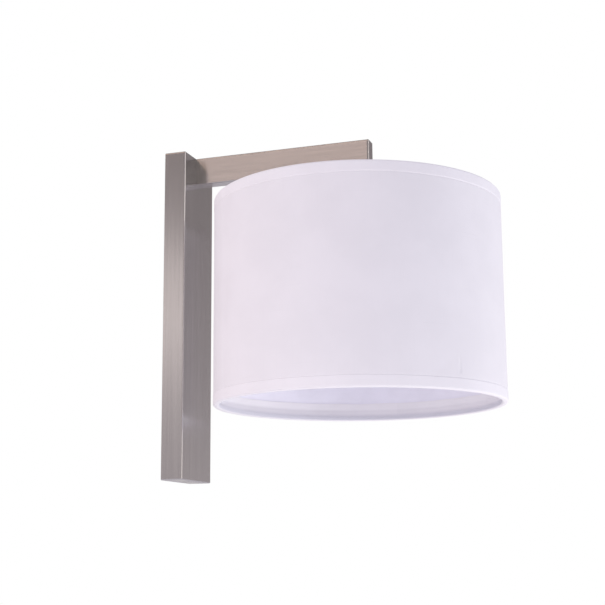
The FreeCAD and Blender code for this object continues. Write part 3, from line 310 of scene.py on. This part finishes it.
def make_cloth():
    """The shade's cloth: one closed sheet with folded hems, a seam, slight waves and one dent."""
    middle, (first_outer, last_outer) = cloth_middle()
    count = len(middle)
    inner_side = offset_line(middle, -CLOTH / 2)
    outer_side = offset_line(middle, CLOTH / 2)
    lengths = lengths_along(middle)
    # the outer face's unevenness carries on this many rows into each hem
    hem_overlap = 4

    def profile_at(angle):
        outline = []
        edge = EDGE_WANDER * uneven(angle, 0, 5, 0)
        for index, (radius, height) in enumerate(outer_side):
            if first_outer - hem_overlap <= index < last_outer + hem_overlap:
                radius += outer_rise(angle, height)
            elif index in (0, count - 1):
                height += edge
            outline.append((radius, height))
        for index in range(count - 1, -1, -1):
            radius, height = inner_side[index]
            if index in (0, count - 1):
                height += edge
            outline.append((radius, height))
        return outline

    angles = cloth_angles()

    def map_at(across, along):
        along %= 2 * count
        along = along if along < count else 2 * count - 1 - along
        angle = angles[across] if across < len(angles) else 2 * math.pi
        return angle * SHADE_RADIUS, lengths[along]

    sheet = ring_of_profiles("shade_cloth", angles, profile_at, math.radians(50))
    lay_map(sheet, 2 * count, map_at)
    cut_round_arms(sheet)
    return sheet


# ---------------------------------------------------------------- threaded pieces

# the ring's thread, and the one that the bulb's cap and the socket share: pitch, and depth under the crest
RING_PITCH = 2.5 * MM
RING_THREAD = 0.75 * MM
CAP_PITCH = 3.6 * MM
SOCKET_THREAD = 0.7 * MM
CAP_THREAD = 0.85 * MM

# how close together an outline's points are along a thread
THREAD_STEP = 0.3 * MM
SOCKET_STEP = 0.35 * MM
THREAD_SMOOTH = math.radians(35)


def thread(angle, height, top, bottom, pitch, depth):
    """How deep a screw thread lies under its crest; it fades out at both ends."""
    phase = (height / pitch - angle / (2 * math.pi)) % 1
    groove = 0.5 - 0.5 * math.cos(2 * math.pi * phase)
    run_out = pitch * 0.7
    fade = smooth_step(bottom, bottom + run_out, height)
    fade *= 1 - smooth_step(top - run_out, top, height)
    return depth * groove * fade


def heights(start, end, step):
    """Evenly spaced heights from start to end, about one step apart."""
    count = max(1, round(abs(end - start) / step))
    return [start + (end - start) * index / count for index in range(count + 1)]


def make_shell():
    """The lampholder's shell: threaded outside for the ring and inside for the bulb, hollow between."""
    low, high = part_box("lampholder_shell")
    bottom, top = low[2], high[2]
    flange = (high[0] - low[0]) / 2
    sleeve, sleeve_inside = 19.5 * MM, 18 * MM
    socket, socket_outside = 13.5 * MM, 15 * MM
    seat = 17.4 * MM
    shoulder, neck, floor = top - 5 * MM, top - 2.5 * MM, top - 10.1 * MM
    hollow_top, socket_top = floor - 2 * MM, floor - 4 * MM
    edge = 0.3 * MM

    def profile_at(angle):
        outline = [(sleeve_inside, bottom), (sleeve - 3 * edge, bottom)]
        for height in heights(bottom + edge, shoulder - edge, THREAD_STEP):
            depth = thread(angle, height, shoulder - edge, bottom + edge, RING_PITCH, RING_THREAD)
            outline.append((sleeve - depth, height))
        outline += [(sleeve, shoulder), (flange - edge, shoulder), (flange, shoulder + edge)]
        outline += [(flange, neck - edge), (flange - edge, neck), (sleeve, neck), (sleeve, top - edge)]
        outline += [(sleeve - edge, top), (seat, top), (seat, floor), (socket, floor)]
        for height in heights(socket_top, bottom + edge, SOCKET_STEP):
            depth = thread(angle, height, socket_top, bottom + edge, CAP_PITCH, SOCKET_THREAD)
            outline.append((socket + depth, height))
        outline += [(socket + edge, bottom), (socket_outside, bottom)]
        outline += [(socket_outside, hollow_top), (sleeve_inside, hollow_top)]
        return outline

    return ring_of_profiles("lampholder_threads", even_angles(144), profile_at, THREAD_SMOOTH)


def make_bulb_cap():
    """The bulb's pressed screw cap, whose thin wall is rolled into a thread."""
    low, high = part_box("bulb_cap")
    bottom, top = low[2], high[2]
    crest = (high[0] - low[0]) / 2
    wall = 0.35 * MM
    thread_low, thread_top = bottom + 1.2 * MM, top - 2.9 * MM
    shoulder, shoulder_inside, hole = 10.5 * MM, 10.2 * MM, 6.5 * MM

    def profile_at(angle):
        stations = heights(bottom + 0.4 * MM, thread_top, THREAD_STEP)
        depths = [thread(angle, height, thread_top, thread_low, CAP_PITCH, CAP_THREAD)
                  for height in stations]
        outline = [(crest - wall, bottom), (crest, bottom)]
        outline += [(crest - depth, height) for depth, height in zip(depths, stations)]
        outline += [(crest - 0.4 * MM, top - 2.0 * MM), (crest - 1.4 * MM, top - 0.8 * MM)]
        outline += [(shoulder, top), (hole, top), (hole, top - wall), (shoulder_inside, top - wall)]
        outline += [(crest - 1.7 * MM, top - 1.1 * MM), (crest - 0.8 * MM, top - 2.2 * MM)]
        inner = [(crest - wall - depth, height) for depth, height in zip(depths, stations)]
        outline += list(reversed(inner))
        return outline

    return ring_of_profiles("bulb_cap_threads", even_angles(120), profile_at, THREAD_SMOOTH)


# ---------------------------------------------------------------- node helpers


class Tree:
    """A node tree that is put together one node at a time."""

    def __init__(self, owner):
        owner.use_nodes = True
        self.nodes = owner.node_tree.nodes
        self.links = owner.node_tree.links

    def new(self, kind, **values):
        item = self.nodes.new(kind)
        for key, value in values.items():
            setattr(item, key, value)
        return item

    def link(self, output, target):
        self.links.new(output, target)

    def ramp(self, value, low, high, start=0.0, end=1.0):
        """A smooth change from low to high while the value goes from start to end."""
        item = self.new("ShaderNodeMapRange", interpolation_type="SMOOTHSTEP")
        self.link(value, item.inputs["Value"])
        item.inputs["From Min"].default_value = start
        item.inputs["From Max"].default_value = end
        item.inputs["To Min"].default_value = low
        item.inputs["To Max"].default_value = high
        return item.outputs["Result"]

    def blend(self, share, first, second):
        """A mix of two colours, either of which may come from another node."""
        item = self.new("ShaderNodeMix", data_type="RGBA")
        self.link(share, item.inputs["Factor"])
        colours = [socket for socket in item.inputs if socket.type == "RGBA"]
        for socket, value in zip(colours, (first, second)):
            if isinstance(value, tuple):
                socket.default_value = (*value, 1)
            else:
                self.link(value, socket)
        return [socket for socket in item.outputs if socket.type == "RGBA"][0]


class Shading(Tree):
    """A node material round one principled shader."""

    def __init__(self, name):
        self.material = bpy.data.materials.new(name)
        super().__init__(self.material)
        self.shader = self.nodes["Principled BSDF"]

    def set(self, **values):
        for socket, value in values.items():
            self.shader.inputs[socket.replace("_", " ")].default_value = value

    def place(self, scale=(1, 1, 1), source="Object"):
        """Coordinates in metres times a scale along each axis."""
        coordinates = self.new("ShaderNodeTexCoord")
        mapping = self.new("ShaderNodeMapping")
        mapping.inputs["Scale"].default_value = scale
        self.link(coordinates.outputs[source], mapping.inputs["Vector"])
        return mapping.outputs["Vector"]

    def grain(self, scale, vector, detail=2.0, roughness=0.5):
        texture = self.new("ShaderNodeTexNoise")
        texture.inputs["Scale"].default_value = scale
        texture.inputs["Detail"].default_value = detail
        texture.inputs["Roughness"].default_value = roughness
        self.link(vector, texture.inputs["Vector"])
        return texture.outputs["Fac"]

    def math(self, operation, first, second=None):
        item = self.new("ShaderNodeMath", operation=operation)
        for socket, value in zip(item.inputs, (first, second)):
            if value is None:
                continue
            if isinstance(value, (int, float)):
                socket.default_value = value
            else:
                self.link(value, socket)
        return item.outputs[0]

    def colour(self, output):
        self.link(output, self.shader.inputs["Base Color"])

    def roughness(self, output):
        self.link(output, self.shader.inputs["Roughness"])

    def bump(self, height, distance, strength=1.0):
        item = self.new("ShaderNodeBump")
        item.inputs["Strength"].default_value = strength
        item.inputs["Distance"].default_value = distance
        self.link(height, item.inputs["Height"])
        self.link(item.outputs["Normal"], self.shader.inputs["Normal"])


def shade_of(colour, factor):
    """The same colour, lighter or darker."""
    return tuple(min(channel * factor, 1) for channel in colour)


# ---------------------------------------------------------------- materials

WEAVE_PITCH = 0.62 * MM

# brush marks: many to the metre across the brushing and few along it
FINE = 4200
LONG = 40


def brushed(name, colour, axis, lines):
    """Metal brushed along one axis; lines is the scale of the brush marks along each axis."""
    made = Shading(name)
    made.set(Metallic=1.0, Anisotropic=0.85)
    across = made.new("ShaderNodeTangent", direction_type="RADIAL", axis=axis)
    made.link(across.outputs["Tangent"], made.shader.inputs["Tangent"])
    fine = made.grain(1.0, made.place(lines), detail=3.0, roughness=0.6)
    streaks = made.grain(1.0, made.place([scale * 0.17 for scale in lines]), detail=3.0, roughness=0.6)
    broad = made.grain(18.0, made.place(), detail=3.0)
    tone = made.math("ADD", made.math("MULTIPLY", fine, 0.3), made.math("MULTIPLY", streaks, 0.5))
    tone = made.math("ADD", tone, made.math("MULTIPLY", broad, 0.2))
    tint = made.ramp(tone, 0, 1, start=0.36, end=0.64)
    made.colour(made.blend(tint, shade_of(colour, 0.94), shade_of(colour, 1.03)))
    made.roughness(made.ramp(fine, 0.19, 0.27, start=0.3, end=0.7))
    made.bump(fine, 0.004 * MM, strength=0.5)
    return made.material


def turned_metal(name, colour, roughness):
    """Small turned or pressed metal pieces with fine marks and slight dulling."""
    made = Shading(name)
    made.set(Metallic=1.0)
    fine = made.grain(900.0, made.place((1, 1, 4)), detail=3.0)
    dull = made.grain(160.0, made.place(), detail=3.0)
    made.colour(made.blend(made.ramp(dull, 0, 1, start=0.35, end=0.7), colour, shade_of(colour, 0.84)))
    made.roughness(made.ramp(dull, roughness - 0.05, roughness + 0.12, start=0.3, end=0.75))
    made.bump(fine, 0.008 * MM, strength=0.5)
    return made.material


def zinc(name, colour):
    """Zinc-plated sheet with its faint crystal patches."""
    made = Shading(name)
    made.set(Metallic=1.0)
    cells = made.new("ShaderNodeTexVoronoi")
    cells.inputs["Scale"].default_value = 240.0
    made.link(made.place(), cells.inputs["Vector"])
    patch = made.new("ShaderNodeSeparateColor")
    made.link(cells.outputs["Color"], patch.inputs["Color"])
    made.colour(made.blend(patch.outputs["Red"], shade_of(colour, 0.88), shade_of(colour, 1.05)))
    made.roughness(made.ramp(patch.outputs["Green"], 0.32, 0.46))
    made.bump(made.grain(1500.0, made.place(), detail=2.0), 0.01 * MM, strength=0.4)
    return made.material


def moulded(name, colour, roughness, grain_size=1200.0, depth=0.01 * MM):
    """Moulded plastic with a fine surface grain and very slight patches of colour."""
    made = Shading(name)
    patches = made.grain(60.0, made.place(), detail=3.0)
    fine = made.grain(grain_size, made.place(), detail=2.0)
    tint = made.ramp(patches, 0, 1, start=0.3, end=0.7)
    made.colour(made.blend(tint, shade_of(colour, 0.965), shade_of(colour, 1.01)))
    made.roughness(made.ramp(fine, roughness - 0.04, roughness + 0.06, start=0.3, end=0.7))
    made.bump(fine, depth, strength=0.5)
    return made.material


def painted(name, colour):
    """Powder-coated wire with a slight orange-peel surface."""
    made = Shading(name)
    peel = made.grain(700.0, made.place(), detail=1.0)
    patches = made.grain(80.0, made.place(), detail=3.0)
    made.colour(made.blend(made.ramp(patches, 0, 1, start=0.3, end=0.7), shade_of(colour, 0.97), colour))
    made.roughness(made.ramp(peel, 0.34, 0.46, start=0.3, end=0.7))
    made.bump(peel, 0.03 * MM, strength=0.5)
    return made.material


def glazed(name, colour):
    """Glazed ceramic with a few faint specks."""
    made = Shading(name)
    made.set(Coat_Weight=0.4, Coat_Roughness=0.08)
    specks = made.grain(1400.0, made.place(), detail=2.0)
    waves = made.grain(260.0, made.place(), detail=1.0)
    made.colour(made.blend(made.ramp(specks, 0, 1, start=0.68, end=0.78), colour, shade_of(colour, 0.72)))
    made.roughness(made.ramp(waves, 0.2, 0.3, start=0.3, end=0.7))
    made.bump(waves, 0.03 * MM, strength=0.5)
    return made.material


def opal(name, colour):
    """Frosted white plastic that lets light spread inside it."""
    made = Shading(name)
    made.set(Subsurface_Weight=0.25, Subsurface_Radius=(0.004, 0.004, 0.004), Subsurface_Scale=1.0)
    fine = made.grain(2200.0, made.place(), detail=2.0)
    cloud = made.grain(40.0, made.place(), detail=2.0)
    made.colour(made.blend(made.ramp(cloud, 0, 1, start=0.3, end=0.7), shade_of(colour, 0.98), colour))
    made.roughness(made.ramp(fine, 0.38, 0.5, start=0.3, end=0.7))
    made.bump(fine, 0.006 * MM, strength=0.5)
    return made.material


def board(name, colour, track):
    """A circuit board: lacquer with tracks under it."""
    made = Shading(name)
    tracks = made.new("ShaderNodeTexBrick")
    tracks.inputs["Scale"].default_value = 260.0
    tracks.inputs["Mortar Size"].default_value = 0.06
    made.link(made.place(), tracks.inputs["Vector"])
    made.colour(made.blend(tracks.outputs["Fac"], colour, track))
    made.roughness(made.ramp(made.grain(900.0, made.place()), 0.3, 0.42, start=0.3, end=0.7))
    made.bump(tracks.outputs["Fac"], 0.03 * MM, strength=0.6)
    return made.material


def phosphor(name, colour):
    """The silicone dome of a small lamp chip, with its phosphor grain."""
    made = Shading(name)
    made.set(Coat_Weight=0.6, Coat_Roughness=0.1)
    fine = made.grain(5000.0, made.place(), detail=2.0)
    made.colour(made.blend(made.ramp(fine, 0, 1, start=0.35, end=0.65), shade_of(colour, 0.85), colour))
    made.roughness(made.ramp(fine, 0.25, 0.4))
    made.bump(fine, 0.01 * MM, strength=0.5)
    return made.material


def cloth_threads(made, pitch):
    """The heights of a plain weave: each thread passes over and under the ones that cross it."""
    spot = made.new("ShaderNodeSeparateXYZ")
    made.link(made.place(source="UV"), spot.inputs["Vector"])
    wobble = made.grain(1.0, made.place((140, 140, 1), "UV"), detail=2.0)
    shift = made.math("MULTIPLY", made.math("SUBTRACT", wobble, 0.5), 1.6)
    across = made.math("ADD", made.math("MULTIPLY", spot.outputs["X"], math.pi / pitch), shift)
    upward = made.math("ADD", made.math("MULTIPLY", spot.outputs["Y"], math.pi / pitch), shift)
    crossing = made.math("MULTIPLY", made.math("SINE", across), made.math("SINE", upward))
    round_across = made.math("ABSOLUTE", made.math("SINE", across))
    round_upward = made.math("ABSOLUTE", made.math("SINE", upward))
    body = made.math("ADD", round_across, round_upward)
    return made.math("ADD", made.math("MULTIPLY", body, 0.35), made.math("MULTIPLY", crossing, 0.3))


def cloth_layers(made):
    """How far the cloth is one layer, from 0 to a half, and how far painted shade darkens its crease where
    it is turned in.
    """
    spot = made.new("ShaderNodeSeparateXYZ")
    made.link(made.place(source="UV"), spot.inputs["Vector"])
    lower_line, upper_line = hem_lines_along()
    middle, reach = (lower_line + upper_line) / 2, (upper_line - lower_line) / 2
    from_middle = made.math("ABSOLUTE", made.math("SUBTRACT", spot.outputs["Y"], middle))
    single = made.ramp(from_middle, 0.5, 0.0, start=reach - 0.2 * MM, end=reach + 0.2 * MM)
    turned = lengths_along(cloth_middle()[0])[-1] / 2 - CREASE_SHADE_FROM_END
    crease_shade = made.math("MULTIPLY", made.ramp(from_middle, 0, 0.9, start=turned - 1.5 * MM, end=turned),
                       made.ramp(from_middle, 1, 0, start=turned, end=turned + 4.5 * MM))
    return single, crease_shade


def woven(name, colour):
    """White shade cloth in plain weave, with a few thicker threads along it and painted shade where it is
    turned in.
    """
    made = Shading(name)
    made.set(Sheen_Weight=0.2, Sheen_Roughness=0.5, Specular_IOR_Level=0.25)
    threads = cloth_threads(made, WEAVE_PITCH)
    streaks = made.grain(1.0, made.place((22, 1500, 1), "UV"), detail=2.0)
    slubs = made.ramp(streaks, 0, 1, start=0.66, end=0.76)
    upright = made.grain(1.0, made.place((1300, 16, 1), "UV"), detail=2.0)
    upright = made.ramp(upright, 0, 1, start=0.62, end=0.74)
    marks = made.math("ADD", slubs, made.math("MULTIPLY", upright, 0.4))
    cloud = made.grain(1.0, made.place((30, 30, 1), "UV"), detail=3.0)
    body = made.ramp(cloud, 0.0, 0.45, start=0.3, end=0.7)
    single, crease_shade = cloth_layers(made)
    dark = made.math("ADD", made.math("MULTIPLY", marks, 0.5), made.math("ADD", body, single))
    ground = made.blend(dark, colour, shade_of(colour, 0.93))
    # painted shade darkens the crease where the cloth is turned in
    made.colour(made.blend(crease_shade, ground, CREASE_SHADE_GREY))
    made.roughness(made.ramp(cloud, 0.82, 0.92, start=0.3, end=0.7))
    relief = made.math("ADD", threads, made.math("MULTIPLY", marks, 0.5))
    made.bump(relief, 0.05 * MM, strength=0.7)
    return made.material


def make_materials():
    """Each slot's material, and two more for metal that is brushed one way; colours are linear."""
    nickel = (0.62, 0.60, 0.585)
    return {
        "nickel_upright": brushed("nickel_upright", nickel, "Z", (FINE, FINE, LONG)),
        "nickel_level": brushed("nickel_level", nickel, "Y", (FINE, LONG, FINE)),
        "satin_nickel": brushed("nickel_turned", nickel, "Z", (FINE, FINE, LONG)),
        "zinc_steel": zinc("zinc_steel_sheet", (0.66, 0.68, 0.70)),
        "screw_steel": turned_metal("screw_steel_turned", (0.58, 0.59, 0.61), 0.3),
        "brass": turned_metal("brass_turned", (0.80, 0.62, 0.32), 0.28),
        "tinned_copper": turned_metal("tinned_copper_pressed", (0.75, 0.73, 0.70), 0.36),
        "nickel_cap": turned_metal("nickel_cap_pressed", (0.72, 0.71, 0.69), 0.24),
        "white_fabric": woven("shade_weave", (0.90, 0.885, 0.90)),
        # painted cool light: the liner's lavender tint stands in for the bluish light inside the shade
        "white_liner": moulded("liner_sheet", (0.91, 0.90, 0.97), 0.5, 500.0),
        "white_wire": painted("white_wire_coat", (0.90, 0.90, 0.90)),
        "white_plastic": moulded("white_moulding", (0.88, 0.88, 0.87), 0.38),
        "dark_plastic": moulded("dark_moulding", (0.035, 0.035, 0.04), 0.5),
        "ceramic_white": glazed("white_glaze", (0.90, 0.89, 0.87)),
        "brown_insulation": moulded("brown_sleeve", (0.16, 0.065, 0.03), 0.42),
        "blue_insulation": moulded("blue_sleeve", (0.03, 0.12, 0.42), 0.42),
        "green_insulation": moulded("green_sleeve", (0.14, 0.42, 0.06), 0.42),
        "black_glass": glazed("black_glass_bead", (0.02, 0.02, 0.025)),
        "bulb_white": moulded("bulb_housing_plastic", (0.90, 0.90, 0.90), 0.36),
        "opal_diffuser": opal("opal_dome", (0.95, 0.95, 0.94)),
        "board_white": board("white_board", (0.86, 0.87, 0.88), (0.74, 0.75, 0.76)),
        "board_green": board("green_board", (0.02, 0.13, 0.04), (0.05, 0.24, 0.08)),
        "led_yellow": phosphor("lamp_chip", (0.88, 0.70, 0.12)),
    }


def dress_nodes(materials):
    """Give every solid the material of its slot, or the one that is chosen for it."""
    chosen = {"post_cover": "nickel_upright", "arm_tube": "nickel_level", "arm_end_cap": "nickel_upright"}
    for name, node in NODES.items():
        for slot in node.material_slots:
            key = chosen.get(name, slot.material.name.split(".")[0])
            slot.material = materials[key]


# ---------------------------------------------------------------- camera and studio

# the photograph's camera, fitted to it: the place in metres, the lens and sensor in millimetres
CAMERA_PLACE = Vector((-0.83195, -0.38310, -0.17136))
CAMERA_YAW = math.radians(-70.962)
CAMERA_PITCH = math.radians(11.334)
CAMERA_ROLL = math.radians(-0.432)
CAMERA_LENS = 75.84
SENSOR_WIDTH = 36

FLOOR_RADIUS = 6
FLOOR_HEIGHT = -1.5


def make_camera():
    """The camera at the photograph's angle."""
    data = bpy.data.cameras.new("camera")
    data.lens = CAMERA_LENS
    data.sensor_width = SENSOR_WIDTH
    data.clip_start = 0.01
    data.clip_end = 100
    camera = bpy.data.objects.new("camera", data)
    bpy.context.scene.collection.objects.link(camera)
    forward = Vector((-math.sin(CAMERA_YAW) * math.cos(CAMERA_PITCH),
                      math.cos(CAMERA_YAW) * math.cos(CAMERA_PITCH), math.sin(CAMERA_PITCH)))
    level = Vector((math.cos(CAMERA_YAW), math.sin(CAMERA_YAW), 0))
    up = level.cross(forward)
    right = level * math.cos(CAMERA_ROLL) + up * math.sin(CAMERA_ROLL)
    above = up * math.cos(CAMERA_ROLL) - level * math.sin(CAMERA_ROLL)
    pose = Matrix((right, above, -forward)).transposed().to_4x4()
    pose.translation = CAMERA_PLACE
    camera.matrix_world = pose
    bpy.context.scene.camera = camera


def make_lamp(name, place, size, watts, colour):
    """A square lamp that faces the shade, and shows neither to the camera nor in reflections."""
    data = bpy.data.lights.new(name, "AREA")
    data.shape = "SQUARE"
    data.size = size
    data.energy = watts
    data.color = colour
    lamp = bpy.data.objects.new(name, data)
    lamp.location = place
    lamp.rotation_euler = (Vector((0, AXIS_Y, 0)) - Vector(place)).to_track_quat("-Z", "Y").to_euler()
    lamp.visible_glossy = False
    lamp.visible_camera = False
    bpy.context.scene.collection.objects.link(lamp)


def make_floor():
    angles = even_angles(96)
    points = [(FLOOR_RADIUS * math.cos(angle), FLOOR_RADIUS * math.sin(angle), FLOOR_HEIGHT)
              for angle in angles]
    floor = mesh_object("floor", points, [tuple(range(len(points)))])
    made = Shading("pale_floor")
    made.set(Roughness=0.9)
    made.colour(made.blend(made.grain(3.0, made.place()), (0.86, 0.86, 0.86), (0.90, 0.90, 0.90)))
    floor.data.materials.append(made.material)


UP = (0, 0, 1)
WHITE = (1.0, 1.0, 1.0)

# what diffuse rays meet: soft light, cool from the front and warmer from behind
COOL_FILL = (0.69, 0.68, 0.79)
WARM_FILL = (0.86, 0.76, 0.80)
BEHIND = (-0.3, 1.0, 0.0)

# what reflections show, in plain colours
ROOM_GREY = (0.5, 0.46, 0.48)
ROOM_DARK = (0.3, 0.27, 0.28)
DARK = (0.12, 0.11, 0.11)
STRIP_LIGHT = (1.1, 1.0, 1.0)
WARM_PANEL = (1.6, 1.2, 1.0)
SOFTBOX = (1.6, 1.5, 1.5)

# where reflections show them: the strip light and the panel are on the wall side
WALL_SIDE = (-0.7, 0.7, 0.0)
FLAG_SIDE = (-0.92, -0.38, 0.2)
SOFTBOX_SIDE = (-0.4, -0.9, 0.1)
BACKDROP_SIDE = (0.6, 0.8, 0.15)


class Sky(Tree):
    """The studio's surroundings, put together from the direction that a ray takes."""

    def __init__(self, world):
        super().__init__(world)
        self.direction = self.new("ShaderNodeTexCoord").outputs["Generated"]

    def towards(self, facing, low, high):
        """How much a direction leans towards one side, from 0 to 1."""
        dot = self.new("ShaderNodeVectorMath", operation="DOT_PRODUCT")
        dot.inputs[1].default_value = Vector(facing).normalized()
        self.link(self.direction, dot.inputs[0])
        return self.ramp(dot.outputs["Value"], 0, 1, low, high)


def reflected_room(sky):
    """What reflections show: a grey room that darkens upward, with its lamps, flag and backdrop."""
    room = sky.blend(sky.towards(UP, 0.0, 0.28), ROOM_GREY, ROOM_DARK)
    wall_side = sky.blend(sky.towards(UP, 0.1, 0.2), ROOM_GREY, STRIP_LIGHT)
    wall_side = sky.blend(sky.towards(UP, 0.2, 0.27), wall_side, ROOM_DARK)
    wall_side = sky.blend(sky.towards(UP, 0.36, 0.44), wall_side, WARM_PANEL)
    shine = sky.blend(sky.towards(WALL_SIDE, 0.3, 0.7), room, wall_side)
    shine = sky.blend(sky.towards(UP, 0.5, 0.9), shine, DARK)
    shine = sky.blend(sky.towards(FLAG_SIDE, 0.93, 0.985), shine, DARK)
    shine = sky.blend(sky.towards(SOFTBOX_SIDE, 0.84, 0.95), shine, SOFTBOX)
    return sky.blend(sky.towards(BACKDROP_SIDE, 0.80, 0.97), shine, WHITE)


def make_world():
    """White behind the object and through it, soft tinted light on it, and a room in its reflections."""
    world = bpy.data.worlds.new("studio")
    bpy.context.scene.world = world
    sky = Sky(world)
    rays = sky.new("ShaderNodeLightPath").outputs
    soft = sky.blend(sky.towards(BEHIND, -0.2, 1.0), COOL_FILL, WARM_FILL)
    shine = reflected_room(sky)
    seen = sky.blend(rays["Is Glossy Ray"], soft, shine)
    seen = sky.blend(rays["Is Transmission Ray"], seen, WHITE)
    seen = sky.blend(rays["Is Camera Ray"], seen, WHITE)
    sky.link(seen, sky.nodes["Background"].inputs["Color"])
    sky.nodes["Background"].inputs["Strength"].default_value = 1.0


def make_studio():
    make_lamp("key", place=(0.35, -0.95, -0.55), size=0.8, watts=5.1, colour=(1.0, 0.99, 0.975))
    make_lamp("side", place=(-0.9, 0.75, -0.15), size=0.9, watts=3.0, colour=(1.0, 0.91, 0.90))
    make_lamp("front", place=(-0.384, -0.25, -0.35), size=0.3, watts=0.36, colour=(0.98, 0.97, 1.0))
    make_floor()
    make_world()
    bpy.context.scene.view_settings.view_transform = "Standard"


# ---------------------------------------------------------------- putting it together

MATERIALS = make_materials()
dress_nodes(MATERIALS)

cloth = make_cloth()
cloth.data.materials.append(MATERIALS["white_fabric"])
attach(cloth, "shade")
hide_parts("shade_fabric")

shell = make_shell()
shell.data.materials.append(MATERIALS["white_plastic"])
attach(shell, "wall_frame")
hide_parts("lampholder_shell")

bulb_cap = make_bulb_cap()
bulb_cap.data.materials.append(MATERIALS["nickel_cap"])
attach(bulb_cap, "bulb")
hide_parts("bulb_cap")

make_camera()
make_studio()
